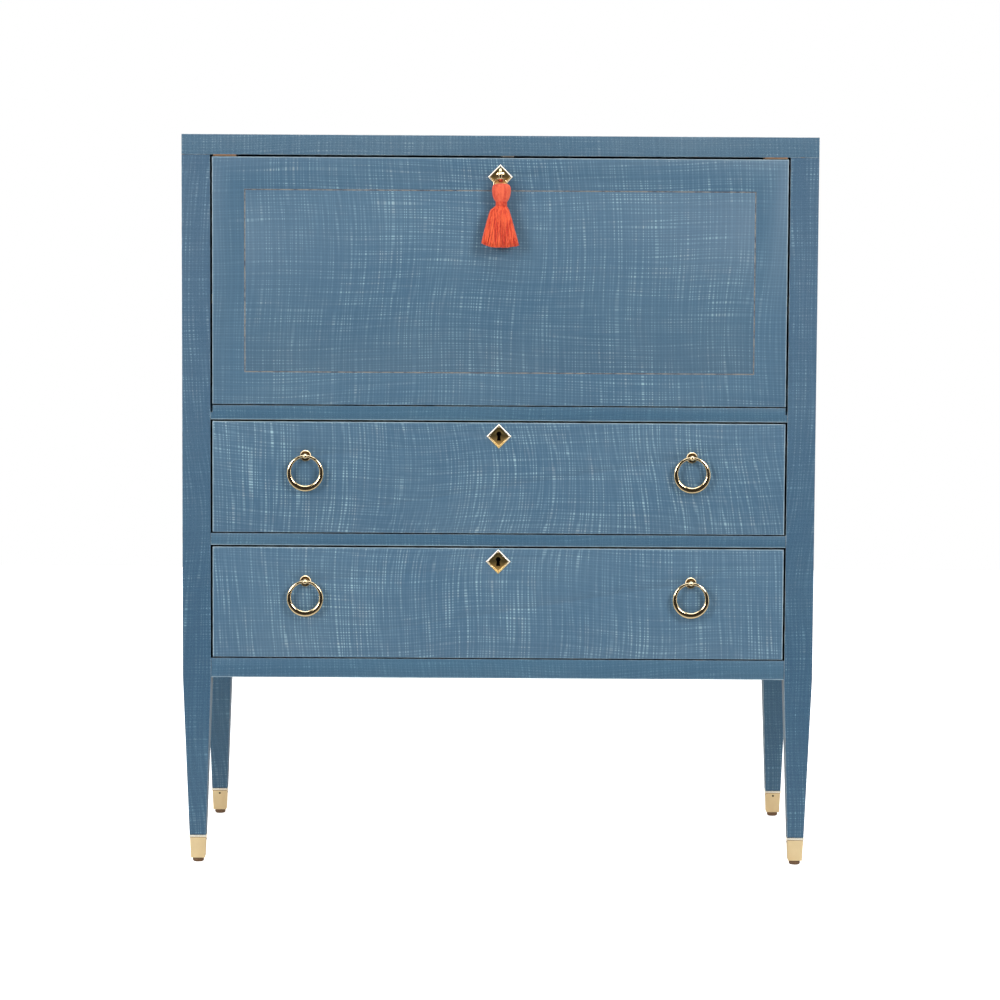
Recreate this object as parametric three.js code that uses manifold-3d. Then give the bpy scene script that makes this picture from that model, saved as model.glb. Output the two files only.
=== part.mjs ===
// A drop-front writing desk on four tapered legs: a flap that lets down to write on, two drawers under
// it, and a pigeonhole rack inside. Millimetres. +Z is up, +X is to the right of someone facing the desk.
// Inside the desk group y = 0 is the plane of the front faces and +Y runs towards the back.

import * as THREE from 'three';
import { mergeVertices } from 'three/addons/utils/BufferGeometryUtils.js';
import Module from 'manifold-3d';

const wasm = await Module();
wasm.setup();

// ---------------------------------------------------------------- driving dimensions
const WIDTH = 965;
const DEPTH = 457;
const HEIGHT = 1117.5;
const SLAB = 30.3; // thickness of the top
const POST = 43; // side of the square posts
const FOOT = 25.2; // side of a leg at the top of its sabot
const SABOT_TOP = 42.7; // height of a sabot's rim over the floor
const GLIDE = 6.7; // height of the glide under a sabot
const APRON_BOTTOM = 290;
const APRON_RAIL = 29.5;
const BOARD = 18; // side panels, shelf, bottom board and desk floor
const DESK_RAIL = 21.6;
const DRAWER = 169.3; // height of a drawer front
const FRONT = 18; // thickness of the flap and of the drawer fronts

// Gaps round the moving fronts, and the clearances between fixed pieces.
const GAP_SIDE = 3.2;
const GAP_OVER_FLAP = 3.3;
const GAP_UNDER_FLAP = 1.9;
const GAP_OVER_DRAWER = 2.8;
const GAP_UNDER_DRAWER = 2;
const SEAM = 0.1; // glued joint between two boards
const FIT = 0.3; // piece let into its neighbour
const THROUGH = 1; // how far a cutting tool runs past the surface that it opens

// Levels and half widths that follow from them.
const lowerDrawerZ = APRON_BOTTOM + APRON_RAIL + GAP_UNDER_DRAWER;
const middleRailZ = lowerDrawerZ + DRAWER + GAP_OVER_DRAWER;
const upperDrawerZ = middleRailZ + BOARD + GAP_UNDER_DRAWER;
const deskRailZ = upperDrawerZ + DRAWER + GAP_OVER_DRAWER;
const deskZ = deskRailZ + DESK_RAIL; // level of the writing surface
const flapZ = deskZ + GAP_UNDER_FLAP;
const slabZ = HEIGHT - SLAB;
const flapHeight = slabZ - GAP_OVER_FLAP - flapZ;
const bayX = WIDTH / 2 - POST; // inner faces of the posts
const frontX = bayX - GAP_SIDE; // ends of the flap and of the drawer fronts
const PANEL_INSET = 4; // side and back panels stand this far inside the posts' outer faces
const panelX = WIDTH / 2 - PANEL_INSET - BOARD; // inner faces of the side panels
const BACK_PANEL = 8;
const backY = DEPTH - PANEL_INSET - BACK_PANEL; // inner face of the back panel
const legX = (WIDTH - POST) / 2;

// The tassel is the piece that stands furthest forward. The origin is under the middle of the whole box.
const FRONT_REACH = 31;
const frontY = (FRONT_REACH - DEPTH) / 2;

// ---------------------------------------------------------------- finishes
const finish = (color, roughness, metalness = 0) =>
  new THREE.MeshStandardMaterial({ color, roughness, metalness });
const bluePaint = finish(0x5d7b93, 0.55);
const bareWood = finish(0xb58a5c, 0.7);
const brass = finish(0xd9b56a, 0.22, 1);
const steel = finish(0x9a9a98, 0.35, 1);
const brownPlastic = finish(0x87664b, 0.5);
const coralThread = finish(0xe4593c, 0.85);

// ---------------------------------------------------------------- geometry helpers
// Six times the volume that a list of triangles encloses, negative if its faces point inwards.
function signedVolume(position, corners) {
  const [a, b, c] = [new THREE.Vector3(), new THREE.Vector3(), new THREE.Vector3()];
  let volume = 0;
  for (let i = 0; i < corners.length; i += 3) {
    a.fromArray(position, 3 * corners[i]);
    b.fromArray(position, 3 * corners[i + 1]);
    c.fromArray(position, 3 * corners[i + 2]);
    volume += a.dot(b.cross(c));
  }
  return volume;
}

// One closed body: shared vertices, no collapsed triangles, faces pointing out.
function closed(source) {
  source.deleteAttribute('normal');
  source.deleteAttribute('uv');
  const geometry = mergeVertices(source, 1e-4);
  const index = geometry.index.array;
  const corners = [];
  for (let i = 0; i < index.length; i += 3) {
    const [a, b, c] = index.slice(i, i + 3);
    if (a !== b && b !== c && c !== a) corners.push(a, b, c);
  }
  if (signedVolume(geometry.attributes.position.array, corners) < 0) corners.reverse();
  geometry.setIndex(corners);
  return geometry;
}

function toSolid(source) {
  const geometry = closed(source.clone());
  const vertProperties = new Float32Array(geometry.attributes.position.array);
  const triVerts = new Uint32Array(geometry.index.array);
  return new wasm.Manifold(new wasm.Mesh({ numProp: 3, vertProperties, triVerts }));
}

function fromSolid(solid) {
  const { vertProperties, triVerts } = solid.getMesh();
  const geometry = new THREE.BufferGeometry();
  geometry.setAttribute('position', new THREE.BufferAttribute(vertProperties, 3));
  geometry.setIndex(new THREE.BufferAttribute(triVerts, 1));
  return geometry;
}

const cut = (body, ...tools) =>
  fromSolid(tools.reduce((rest, tool) => rest.subtract(toSolid(tool)), toSolid(body)));
const join = (first, ...others) =>
  fromSolid(others.reduce((sum, other) => sum.add(toSolid(other)), toSolid(first)));

// A block between two opposite corners.
function block([x0, x1], [y0, y1], [z0, z1]) {
  const geometry = new THREE.BoxGeometry(x1 - x0, y1 - y0, z1 - z0);
  return geometry.translate((x0 + x1) / 2, (y0 + y1) / 2, (z0 + z1) / 2);
}

const span = (half) => [-half, half];

// A solid of revolution about Y from [radius, y] points.
const turnedOnY = (points, segments) =>
  new THREE.LatheGeometry(points.map(([r, y]) => new THREE.Vector2(r, y)), segments);

// A solid of revolution about Z from [radius, z] points.
const turnedOnZ = (points, segments) => turnedOnY(points, segments).rotateX(Math.PI / 2);

// A square bar about Z, from [half width, z] points.
function squareOnZ(points) {
  const corners = points.map(([half, z]) => new THREE.Vector2(half * Math.SQRT2, z));
  return new THREE.LatheGeometry(corners, 4, Math.PI / 4).rotateX(Math.PI / 2);
}

function rodOnX(radius, [x0, x1], segments = 16) {
  const geometry = new THREE.CylinderGeometry(radius, radius, x1 - x0, segments);
  return geometry.rotateZ(Math.PI / 2).translate((x0 + x1) / 2, 0, 0);
}

function rodOnY(radius, [y0, y1], segments = 16) {
  const geometry = new THREE.CylinderGeometry(radius, radius, y1 - y0, segments);
  return geometry.translate(0, (y0 + y1) / 2, 0);
}

// A flat shape drawn as seen from the front, x to the right and z up, made solid from y0 to y1.
function plateOnY(shape, [y0, y1]) {
  const options = { depth: y1 - y0, bevelEnabled: false, curveSegments: 14 };
  return new THREE.ExtrudeGeometry(shape, options).rotateX(Math.PI / 2).translate(0, y1, 0);
}

// A flat shape drawn in the plane of a side, y to the back and z up, made solid from x0 to x1.
function plateOnX(shape, [x0, x1], curveSegments = 14) {
  const options = { depth: x1 - x0, bevelEnabled: false, curveSegments };
  const geometry = new THREE.ExtrudeGeometry(shape, options);
  return geometry.rotateX(Math.PI / 2).rotateZ(Math.PI / 2).translate(x0, 0, 0);
}

function mesh(name, geometry, material, [x, y, z] = [0, 0, 0]) {
  const node = new THREE.Mesh(closed(geometry), material);
  node.name = name;
  node.position.set(x, y, z);
  return node;
}

function assembly([x, y, z], ...children) {
  const group = new THREE.Group();
  group.position.set(x, y, z);
  group.add(...children);
  return group;
}

const SIDES = [['left', -1], ['right', 1]];

// ---------------------------------------------------------------- hinge line of the flap
// The flap turns on a pin at each end. The pins lie half a thickness behind the front face and below the
// writing surface, so the open flap lies level with the desk floor and just in front of the desk rail.
const pivotY = FRONT / 2;
const pivotZ = deskZ - FRONT / 2;
const PIN_RADIUS = 3;
const PIN_LENGTH = 9;
const EYE_RADIUS = 5;
const ARM_GAP = 0.2; // between the end of the flap and its arm
const ARM_THICKNESS = 1.8;
const ARM_BACK = 8; // how far the arm's back edge lies behind the pin
const ARM_FRONT = 1; // how far its front edge lies before the pin
const ARM_HEIGHT = 38;

const at = (geometry, y, z) => geometry.translate(0, y, z);

function pivotArm(side) {
  const x0 = frontX + ARM_GAP;
  const bar = block([x0, x0 + ARM_THICKNESS], [-ARM_FRONT, ARM_BACK], [0, ARM_HEIGHT]);
  const eye = rodOnX(EYE_RADIUS, [x0, x0 + ARM_THICKNESS]);
  const pin = rodOnX(PIN_RADIUS, [x0 + ARM_THICKNESS / 2, bayX + PIN_LENGTH]);
  const arm = join(bar, eye, pin);
  return at(side < 0 ? arm.scale(-1, 1, 1) : arm, pivotY, pivotZ);
}

// ---------------------------------------------------------------- stays of the flap
// Each stay is a brass quadrant centred on the pin. It slides past a keeper behind the post, and the stop
// on its tail meets the keeper when the flap is level.
const STAY_RADIUS = 170;
const STAY_WIDTH = 8;
const STAY_X = [431, 434];
const STAY_FOOT = 3; // thickness of the foot screwed to the flap
const STAY_FOOT_HEIGHT = 40;
const STAY_HEAD_GAP = 1; // between the end of the arc and the flap
const STAY_TAIL = THREE.MathUtils.degToRad(-7.3);
const STAY_STOP = THREE.MathUtils.degToRad(-6.25);
const STOP_RADIUS = 2.2;
const STOP_X = 438.6;
const KEEPER = { x: [434.7, bayX - SEAM], y: [20.5, 25], height: 14 };

function quadrantStay(side) {
  const inner = STAY_RADIUS - STAY_WIDTH / 2;
  const outer = STAY_RADIUS + STAY_WIDTH / 2;
  const head = Math.acos((FRONT + STAY_HEAD_GAP - pivotY) / inner);
  const arc = new THREE.Shape();
  arc.absarc(0, 0, outer, STAY_TAIL, head, false);
  arc.absarc(0, 0, inner, head, STAY_TAIL, true);
  const strip = plateOnX(arc, STAY_X, 28);
  const footY = FRONT + FIT - pivotY;
  const footZ = STAY_RADIUS - STAY_FOOT_HEIGHT / 2;
  const foot = block(STAY_X, [footY, footY + STAY_FOOT], [footZ, footZ + STAY_FOOT_HEIGHT]);
  const stop = rodOnX(STOP_RADIUS, [(STAY_X[0] + STAY_X[1]) / 2, STOP_X], 12);
  stop.translate(0, STAY_RADIUS * Math.cos(STAY_STOP), STAY_RADIUS * Math.sin(STAY_STOP));
  const stay = join(strip, foot, stop);
  return at(side < 0 ? stay.scale(-1, 1, 1) : stay, pivotY, pivotZ);
}

const mirrored = ([x0, x1], side) => (side < 0 ? [-x1, -x0] : [x0, x1]);

function keeper(side) {
  const middle = pivotZ + STAY_RADIUS;
  const z = [middle - KEEPER.height / 2, middle + KEEPER.height / 2];
  return block(mirrored(KEEPER.x, side), KEEPER.y, z);
}

// ---------------------------------------------------------------- locks
// A lock is let into the inner face and the top edge of its panel. Sizes are from the panel's top edge
// and front face, in the panel's own middle plane.
const LOCK = { halfWidth: 30, height: 46, depth: 11.7, plate: 2.4 };
const CHAMBER = { radius: 8.4, depth: 5 }; // room for the key's bit to turn in
const CASE_KEYHOLE_ROOM = 0.4; // how much wider the keyhole is in the case than in the escutcheon
const PANEL_KEYHOLE_ROOM = 0.8; // and in the panel
const KEYHOLE = { eye: 3.85, neck: 2.2, foot: 3.2, drop: 10.3 };
const lockY = FRONT - LOCK.depth; // front face of a lock case
const BOLT = { halfWidth: 7, y: [lockY + 4.3, lockY + 8.7], height: 14, recess: 0.2 };
const BIT = { y: [lockY + 3.1, lockY + 6.6], reach: 7.8 };

// Keyhole outline about the centre of its round eye.
function keyholeShape(grow = 0) {
  const eye = KEYHOLE.eye + grow;
  const neck = KEYHOLE.neck + grow;
  const foot = KEYHOLE.foot + grow;
  const lip = Math.acos(neck / eye);
  const shape = new THREE.Shape();
  shape.moveTo(-foot, -KEYHOLE.drop - grow);
  shape.lineTo(foot, -KEYHOLE.drop - grow);
  shape.absarc(0, 0, eye, -lip, Math.PI + lip, false);
  return shape;
}

function lockCase(keyDrop, boltX) {
  const top = -FIT / 2;
  const body = block(span(LOCK.halfWidth), [lockY, FRONT - FIT], [-LOCK.height, top]);
  const keyhole = plateOnY(keyholeShape(CASE_KEYHOLE_ROOM), [lockY - THROUGH, lockY + LOCK.plate + FIT]);
  const chamberY = lockY + LOCK.plate;
  const chamber = rodOnY(CHAMBER.radius, [chamberY, chamberY + CHAMBER.depth], 24);
  const slotX = BOLT.halfWidth + FIT;
  const slotY = [BOLT.y[0] - FIT, BOLT.y[1] + FIT];
  const slot = block([boltX - slotX, boltX + slotX], slotY, [-BOLT.height - BOLT.recess - FIT, THROUGH]);
  return cut(body, at(keyhole, 0, -keyDrop), at(chamber, 0, -keyDrop), slot);
}

// What is cut out of a panel for its lock: the mortise, and the keyhole in front of it.
function lockCuts(keyDrop) {
  const half = span(LOCK.halfWidth + FIT);
  const mortise = block(half, [lockY - FIT, FRONT + THROUGH], [-LOCK.height - FIT, THROUGH]);
  const keyhole = plateOnY(keyholeShape(PANEL_KEYHOLE_ROOM), [-THROUGH, lockY]);
  return [mortise, at(keyhole, 0, -keyDrop)];
}

const lockBolt = (boltX) =>
  block(
    [boltX - BOLT.halfWidth, boltX + BOLT.halfWidth],
    BOLT.y,
    [-BOLT.height - BOLT.recess, -BOLT.recess],
  );

// The pocket over a closed front that its bolt shoots into.
const POCKET = { depth: 8, room: 1 };
function boltPocket(boltX, z) {
  const half = BOLT.halfWidth + POCKET.room;
  const pocketY = [BOLT.y[0] - POCKET.room, BOLT.y[1] + POCKET.room];
  return block([boltX - half, boltX + half], pocketY, [z - THROUGH, z + POCKET.depth]);
}

// Diamond-shaped escutcheon: a rim that slopes outwards and falls in a hollow curve to a sunken field, with
// a raised border at the keyhole. Sizes run along the half diagonal, inwards from the corner.
const ESCUTCHEON = { diagonal: 19, thickness: 1.9, edge: 0.4, rim: 2.7, hollow: 3.2, field: 0.8 };
const RIM_CREST = 2.2; // from the corner to the flat crest of the rim
const KEYHOLE_BORDER = { width: 1.3, height: 0.5 };
const KEYHOLE_RISE = 3.6; // from the middle of the escutcheon up to the keyhole's eye
const HOLLOW_STEPS = 4;

function escutcheon() {
  const { diagonal, thickness, edge, rim, hollow, field } = ESCUTCHEON;
  const profile = [
    [0, 0],
    [diagonal, 0],
    [diagonal, -edge],
    [diagonal - RIM_CREST, -thickness],
    [diagonal - rim, -thickness],
  ];
  for (let i = 1; i <= HOLLOW_STEPS; i += 1) {
    const turn = (Math.PI / 2) * (i / HOLLOW_STEPS);
    const fall = (thickness - field) * Math.sin(turn);
    profile.push([diagonal - rim - hollow * (1 - Math.cos(turn)), fall - thickness]);
  }
  profile.push([0, -field]);
  const plate = turnedOnY(profile, 4);
  const borderY = [-field - KEYHOLE_BORDER.height, -field / 2];
  const border = at(plateOnY(keyholeShape(KEYHOLE_BORDER.width), borderY), 0, KEYHOLE_RISE);
  const keyhole = at(plateOnY(keyholeShape(), [-thickness - THROUGH, THROUGH]), 0, KEYHOLE_RISE);
  return cut(join(plate, border), keyhole);
}

// ---------------------------------------------------------------- carcass
// A leg about its own axis: straight as a post, tapered under the apron, shouldered into its sabot.
const SABOT_WALL = 1.5;
const SABOT_FLOOR = 2;
const SABOT_BOTTOM = 21.6; // side of a sabot at its lower end
const sabotTaper = (FOOT - SABOT_BOTTOM) / 2 / (SABOT_TOP - GLIDE);

function leg() {
  const toe = GLIDE + SABOT_FLOOR + FIT;
  const shoulder = FOOT / 2 - SABOT_WALL - FIT;
  const toeHalf = shoulder - sabotTaper * (SABOT_TOP - toe);
  return squareOnZ([
    [0, toe],
    [toeHalf, toe],
    [shoulder, SABOT_TOP + FIT],
    [FOOT / 2, SABOT_TOP + FIT],
    [POST / 2, APRON_BOTTOM],
    [POST / 2, slabZ - SEAM],
    [0, slabZ - SEAM],
  ]);
}

// A front post has a bore in its inner face for the flap's pin.
function frontLeg(side) {
  const bore = rodOnX(PIN_RADIUS + FIT, [POST / 2 - PIN_LENGTH - 1, POST / 2 + THROUGH]);
  bore.scale(-side, 1, 1);
  return cut(leg(), at(bore, pivotY - POST / 2, pivotZ));
}

const LIP = { height: 3, proud: 0.6, shoulder: 0.6, waist: 0.4 }; // band round the top of a sabot
function sabot() {
  const lip = FOOT / 2 + LIP.proud;
  const innerTop = FOOT / 2 - SABOT_WALL;
  const floorTop = GLIDE + SABOT_FLOOR;
  const innerBottom = innerTop - sabotTaper * (SABOT_TOP - floorTop);
  return squareOnZ([
    [0, GLIDE + SEAM],
    [SABOT_BOTTOM / 2, GLIDE + SEAM],
    [FOOT / 2 - LIP.waist, SABOT_TOP - LIP.height - LIP.shoulder],
    [lip, SABOT_TOP - LIP.height],
    [lip, SABOT_TOP],
    [innerTop, SABOT_TOP],
    [innerBottom, floorTop],
    [0, floorTop],
  ]);
}

const GLIDE_RADIUS = 8.75;
const GLIDE_CHAMFER = 1.6;
const glide = () =>
  turnedOnZ([
    [0, 0],
    [GLIDE_RADIUS - GLIDE_CHAMFER, 0],
    [GLIDE_RADIUS, GLIDE_CHAMFER],
    [GLIDE_RADIUS, GLIDE],
    [0, GLIDE],
  ], 16);

function legs() {
  const children = [];
  for (const [row, y] of [['front', POST / 2], ['rear', DEPTH - POST / 2]]) {
    for (const [hand, side] of SIDES) {
      const place = [side * legX, y, 0];
      children.push(
        mesh(`${row}_${hand}_leg`, row === 'front' ? frontLeg(side) : leg(), bluePaint, place),
        mesh(`${row}_${hand}_sabot`, sabot(), brass, place),
        mesh(`${row}_${hand}_glide`, glide(), brownPlastic, place),
      );
    }
  }
  return children;
}

function topSlab() {
  const slab = block(span(WIDTH / 2), [0, DEPTH], [slabZ, HEIGHT]);
  return cut(slab, boltPocket(FLAP_BOLT_X, slabZ));
}

// The strike plate under the top, with a slot for the flap's bolt.
const FLAP_BOLT_X = 10.5;
const STRIKE = { halfWidth: 9.9, y: [5, FRONT - 0.4], thickness: 1.5 };
function strikePlate() {
  const z = [slabZ - SEAM - STRIKE.thickness, slabZ - SEAM];
  const plate = block([FLAP_BOLT_X - STRIKE.halfWidth, FLAP_BOLT_X + STRIKE.halfWidth], STRIKE.y, z);
  return cut(plate, boltPocket(FLAP_BOLT_X, z[0]));
}

// A rail between the front posts.
const rail = (z, height) => block(span(bayX - SEAM), [0, POST], [z, z + height]);

// The desk rail is notched at each end so that the pivot arms can swing forwards.
function deskRail() {
  const notches = SIDES.flatMap(([, side]) => {
    const notchX = mirrored([frontX - FIT, bayX + THROUGH], side);
    const notchZ = [pivotZ - ARM_FRONT - FIT, deskZ + THROUGH];
    const armRoom = block(notchX, [-THROUGH, pivotY + ARM_BACK + FIT], notchZ);
    const eyeRoom = at(rodOnX(EYE_RADIUS + FIT, notchX), pivotY, pivotZ);
    return [armRoom, eyeRoom];
  });
  return cut(rail(deskRailZ, DESK_RAIL), boltPocket(0, deskRailZ), ...notches);
}

const middleRail = () => cut(rail(middleRailZ, BOARD), boltPocket(0, middleRailZ));

// A horizontal board between the side panels, cut round the rear posts, with its top at z.
function levelBoard(z) {
  const board = block(span(panelX - SEAM), [POST + SEAM, backY - SEAM], [z - BOARD, z]);
  const corners = SIDES.map(([, side]) => {
    const cornerX = mirrored([bayX - SEAM, WIDTH / 2], side);
    return block(cornerX, [DEPTH - POST - SEAM, DEPTH], [z - BOARD - THROUGH, z + THROUGH]);
  });
  return cut(board, ...corners);
}

// The desk floor has a slot at each end that the tail of a stay drops into.
const STAY_SLOT = { halfLength: 6, room: 1 };
function deskFloor() {
  const slotY = [pivotY + STAY_RADIUS - STAY_SLOT.halfLength, pivotY + STAY_RADIUS + STAY_SLOT.halfLength];
  const slots = SIDES.map(([, side]) => {
    const slotX = mirrored([STAY_X[0] - STAY_SLOT.room, STOP_X + STAY_SLOT.room], side);
    return block(slotX, slotY, [deskZ - BOARD - THROUGH, deskZ + THROUGH]);
  });
  return cut(levelBoard(deskZ), ...slots);
}

function sidePanel(side) {
  const panelSpan = mirrored([panelX, panelX + BOARD], side);
  return block(panelSpan, [POST + SEAM, DEPTH - POST - SEAM], [APRON_BOTTOM, slabZ - SEAM]);
}

const backPanel = () =>
  block(span(bayX - SEAM), [backY, backY + BACK_PANEL], [APRON_BOTTOM, slabZ - SEAM]);

// A wooden block behind each top corner of the flap, which the closed flap rests against.
const STOP_BLOCK = { x: [400, 434.8], y: [FRONT + 0.5, FRONT + 25], height: 25 };
const stopBlock = (side) =>
  block(mirrored(STOP_BLOCK.x, side), STOP_BLOCK.y, [slabZ - STOP_BLOCK.height, slabZ - SEAM]);

function carcass() {
  return [
    mesh('top_slab', topSlab(), bluePaint),
    ...legs(),
    ...SIDES.map(([hand, side]) => mesh(`${hand}_side_panel`, sidePanel(side), bluePaint)),
    mesh('back_panel', backPanel(), bluePaint),
    mesh('desk_rail', deskRail(), bluePaint),
    mesh('middle_rail', middleRail(), bluePaint),
    mesh('apron_rail', rail(APRON_BOTTOM, APRON_RAIL), bluePaint),
    mesh('desk_floor', deskFloor(), bareWood),
    mesh('middle_shelf', levelBoard(middleRailZ + BOARD), bareWood),
    mesh('bottom_board', levelBoard(APRON_BOTTOM + APRON_RAIL), bareWood),
    mesh('strike_plate', strikePlate(), steel),
    ...SIDES.map(([hand, side]) => mesh(`${hand}_stop_block`, stopBlock(side), bareWood)),
    ...SIDES.map(([hand, side]) => mesh(`${hand}_stay_keeper`, keeper(side), brass)),
  ];
}

// ---------------------------------------------------------------- flap
const FLAP_KEY_DROP = 28.5 - KEYHOLE_RISE; // from the flap's top edge down to the key's axis
const LINE_INSET = 48.5;
const LINE_WIDTH = 1.8;
const LINE_DEPTH = 1;
const CORNER_ROOM = 0.5;
const flapTop = flapZ + flapHeight;

// The incised line: a rectangular groove all round the face.
function lineGroove() {
  const outerX = frontX - LINE_INSET;
  const outline = (shape, x, z0, z1) => {
    shape.moveTo(-x, z0);
    shape.lineTo(x, z0);
    shape.lineTo(x, z1);
    shape.lineTo(-x, z1);
    return shape;
  };
  const frame = outline(new THREE.Shape(), outerX, flapZ + LINE_INSET, flapTop - LINE_INSET);
  const innerX = outerX - LINE_WIDTH;
  const inset = LINE_INSET + LINE_WIDTH;
  frame.holes.push(outline(new THREE.Path(), innerX, flapZ + inset, flapTop - inset));
  return plateOnY(frame, [-THROUGH, LINE_DEPTH]);
}

// The flap's lower edge is hollowed about the hinge line, to swing round the square corner of the rail.
function flapPanel() {
  const panel = block(span(frontX), [0, FRONT], [flapZ, flapTop]);
  const hollowRadius = Math.hypot(pivotY, deskZ - pivotZ) + CORNER_ROOM;
  const hollow = at(rodOnX(hollowRadius, span(frontX + THROUGH), 96), pivotY, pivotZ);
  const mortises = lockCuts(FLAP_KEY_DROP).map((tool) => at(tool, 0, flapTop));
  return cut(panel, hollow, lineGroove(), ...mortises);
}

function flap() {
  return [
    mesh('flap_panel', flapPanel(), bluePaint),
    mesh('flap_escutcheon', escutcheon(), brass, [0, -SEAM, flapTop - FLAP_KEY_DROP - KEYHOLE_RISE]),
    mesh('flap_lock_case', lockCase(FLAP_KEY_DROP, FLAP_BOLT_X), brass, [0, 0, flapTop]),
    mesh('flap_bolt', lockBolt(FLAP_BOLT_X), brass, [0, 0, flapTop]),
    ...SIDES.map(([hand, side]) => mesh(`${hand}_pivot_hinge`, pivotArm(side), brass)),
    ...SIDES.map(([hand, side]) => mesh(`${hand}_quadrant_stay`, quadrantStay(side), brass)),
  ];
}

// ---------------------------------------------------------------- key, key ring and tassel
const BOW = { y: -16, radius: 9.3, tube: 1.2, halfThickness: 2.2 };
const KEY_SHAFT = 2.3;
const KEY_COLLAR = { radius: 5.4, y: [-2.5, -4.3] };
const KEY_NECK = { foot: 3.6, top: 3, y: [-4.9, -7] }; // from the collar to the bow
const KEY_BIT = 1.1; // half the thickness of the bit
const BIT_SHORT = 0.5; // the shaft ends this far short of the bit's back
const RING = { radius: 10.4, wire: 0.8, play: 0.4 };
const keyZ = flapTop - FLAP_KEY_DROP;
// The ring hangs on the lowest point of the bow, with room to stay plumb while the key turns.
const ringZ = keyZ - BOW.radius - (RING.radius - RING.wire - BOW.halfThickness - RING.play);

function key() {
  const shaftEnd = BIT.y[1] - BIT_SHORT;
  const [collarBack, collarFront] = KEY_COLLAR.y;
  const [neckFoot, neckTop] = KEY_NECK.y;
  const shaft = turnedOnY([
    [0, shaftEnd],
    [KEY_SHAFT, shaftEnd],
    [KEY_SHAFT, collarBack + SEAM],
    [KEY_COLLAR.radius, collarBack],
    [KEY_COLLAR.radius, collarFront],
    [KEY_NECK.foot, neckFoot],
    [KEY_NECK.top, neckTop],
    [0, neckTop],
  ], 20);
  const bit = block(span(KEY_BIT), BIT.y, [-BIT.reach, -KEY_BIT]);
  const bow = new THREE.TorusGeometry(BOW.radius, BOW.tube, 8, 28).rotateY(Math.PI / 2);
  bow.scale(BOW.halfThickness / BOW.tube, 1, 1).translate(0, BOW.y, 0);
  return join(shaft, bit, bow);
}

const keyRing = () => new THREE.TorusGeometry(RING.radius, RING.wire, 6, 32).rotateX(Math.PI / 2);

// The tassel: a head bound at the neck over a flared skirt, flatter from front to back than it is wide.
// It is drawn from the ring's lowest wire, which it hangs on, downwards.
const TASSEL = { head: 14.4, neck: 8.4, hem: 30.5 };
const TASSEL_DROP = { top: -1.3, neckTop: -15.3, neckBottom: -21.3, hem: -83.8 };
const HEM_BEVEL = 3;
const FLAT_HEAD = 0.85;
const flatHem = (FRONT_REACH + BOW.y) / TASSEL.hem;

function tassel() {
  const { top, neckTop, neckBottom, hem } = TASSEL_DROP;
  const widest = hem + HEM_BEVEL;
  const body = turnedOnZ([
    [0, hem],
    [TASSEL.hem - HEM_BEVEL, hem],
    [TASSEL.hem, widest],
    [TASSEL.hem * 0.75, (hem * 2 + neckBottom) / 3],
    [TASSEL.hem * 0.5, (hem + neckBottom * 2) / 3],
    [TASSEL.neck, neckBottom],
    [TASSEL.neck, neckTop],
    [TASSEL.head, (neckTop + top) / 2],
    [TASSEL.head - 1, top],
    [0, top],
  ], 24);
  const position = body.attributes.position;
  for (let i = 0; i < position.count; i += 1) {
    const drop = (neckBottom - position.getZ(i)) / (neckBottom - widest);
    const flare = THREE.MathUtils.clamp(drop, 0, 1);
    position.setY(i, position.getY(i) * THREE.MathUtils.lerp(FLAT_HEAD, flatHem, flare));
  }
  return body;
}

function keyAndTassel() {
  return [
    mesh('flap_key', key(), brass, [0, 0, keyZ]),
    mesh('key_ring', keyRing(), brass, [0, BOW.y, ringZ]),
    mesh('tassel', tassel(), coralThread, [0, BOW.y, ringZ - RING.radius]),
  ];
}

// ---------------------------------------------------------------- drawers
const PULL_X = 294.7;
const PULL_RISE = 32.5; // of the pull's stud over the middle of the front
const STUD = { ball: 4.4, ballY: -9.6, stem: 2.8, rod: 2, rodEnd: 23 };
const ROSETTE = { radius: 8.6, back: -0.2, edge: 0.9, rim: 2.1, field: 1.3, foot: 1.2 };
const ROSETTE_RIM = { slope: 1.2, crest: 0.3, fall: 0.9 }; // widths across the rim, from the edge inwards
const WIRE_ROOM = 0.5; // play of the ring's wire in the stud's eye
const CRESCENT = { outer: 28.1, inner: 21.3, rise: 2.4, halfDepth: 2.1, belly: 0.5 };
const DRAWER_KEY_DROP = 20.8 - KEYHOLE_RISE;
const DRAWER_SIDE = 12;
const DRAWER_BACK_Y = 415;
const DRAWER_SIDE_DROP = 12; // the sides stop this far under the front's top edge
const DRAWER_BOTTOM = 6;
const GROOVE_RISE = 9; // of the bottom panel over the sides' lower edges
const sideFoot = FIT - GAP_UNDER_DRAWER; // lower edge of the sides, just over the shelf

// The crescent ring of a pull: a round wire that swells towards the bottom. It is drawn about the point
// where it hangs in the stud's eye.
const topWire = (CRESCENT.outer - CRESCENT.inner - CRESCENT.rise) / 2;
function crescentRing() {
  const { outer, inner, rise, halfDepth, belly } = CRESCENT;
  const tube = 0.25;
  const ring = new THREE.TorusGeometry(1, tube, 12, 60);
  const position = ring.attributes.position;
  for (let i = 0; i < position.count; i += 1) {
    const [x, y, z] = [position.getX(i), position.getY(i), position.getZ(i)];
    const angle = Math.atan2(y, x);
    const across = (Math.hypot(x, y) - 1) / tube; // -1 at the inner edge, 1 at the outer edge
    const innerEdge = rise * Math.sin(angle) + Math.sqrt(inner ** 2 - (rise * Math.cos(angle)) ** 2);
    const reach = (outer + innerEdge) / 2 + (across * (outer - innerEdge)) / 2;
    const depth = halfDepth + (belly * (1 - Math.sin(angle))) / 2;
    position.setXYZ(i, reach * Math.cos(angle), (z / tube) * depth, reach * Math.sin(angle));
  }
  return at(ring, 0, topWire - outer);
}

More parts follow.
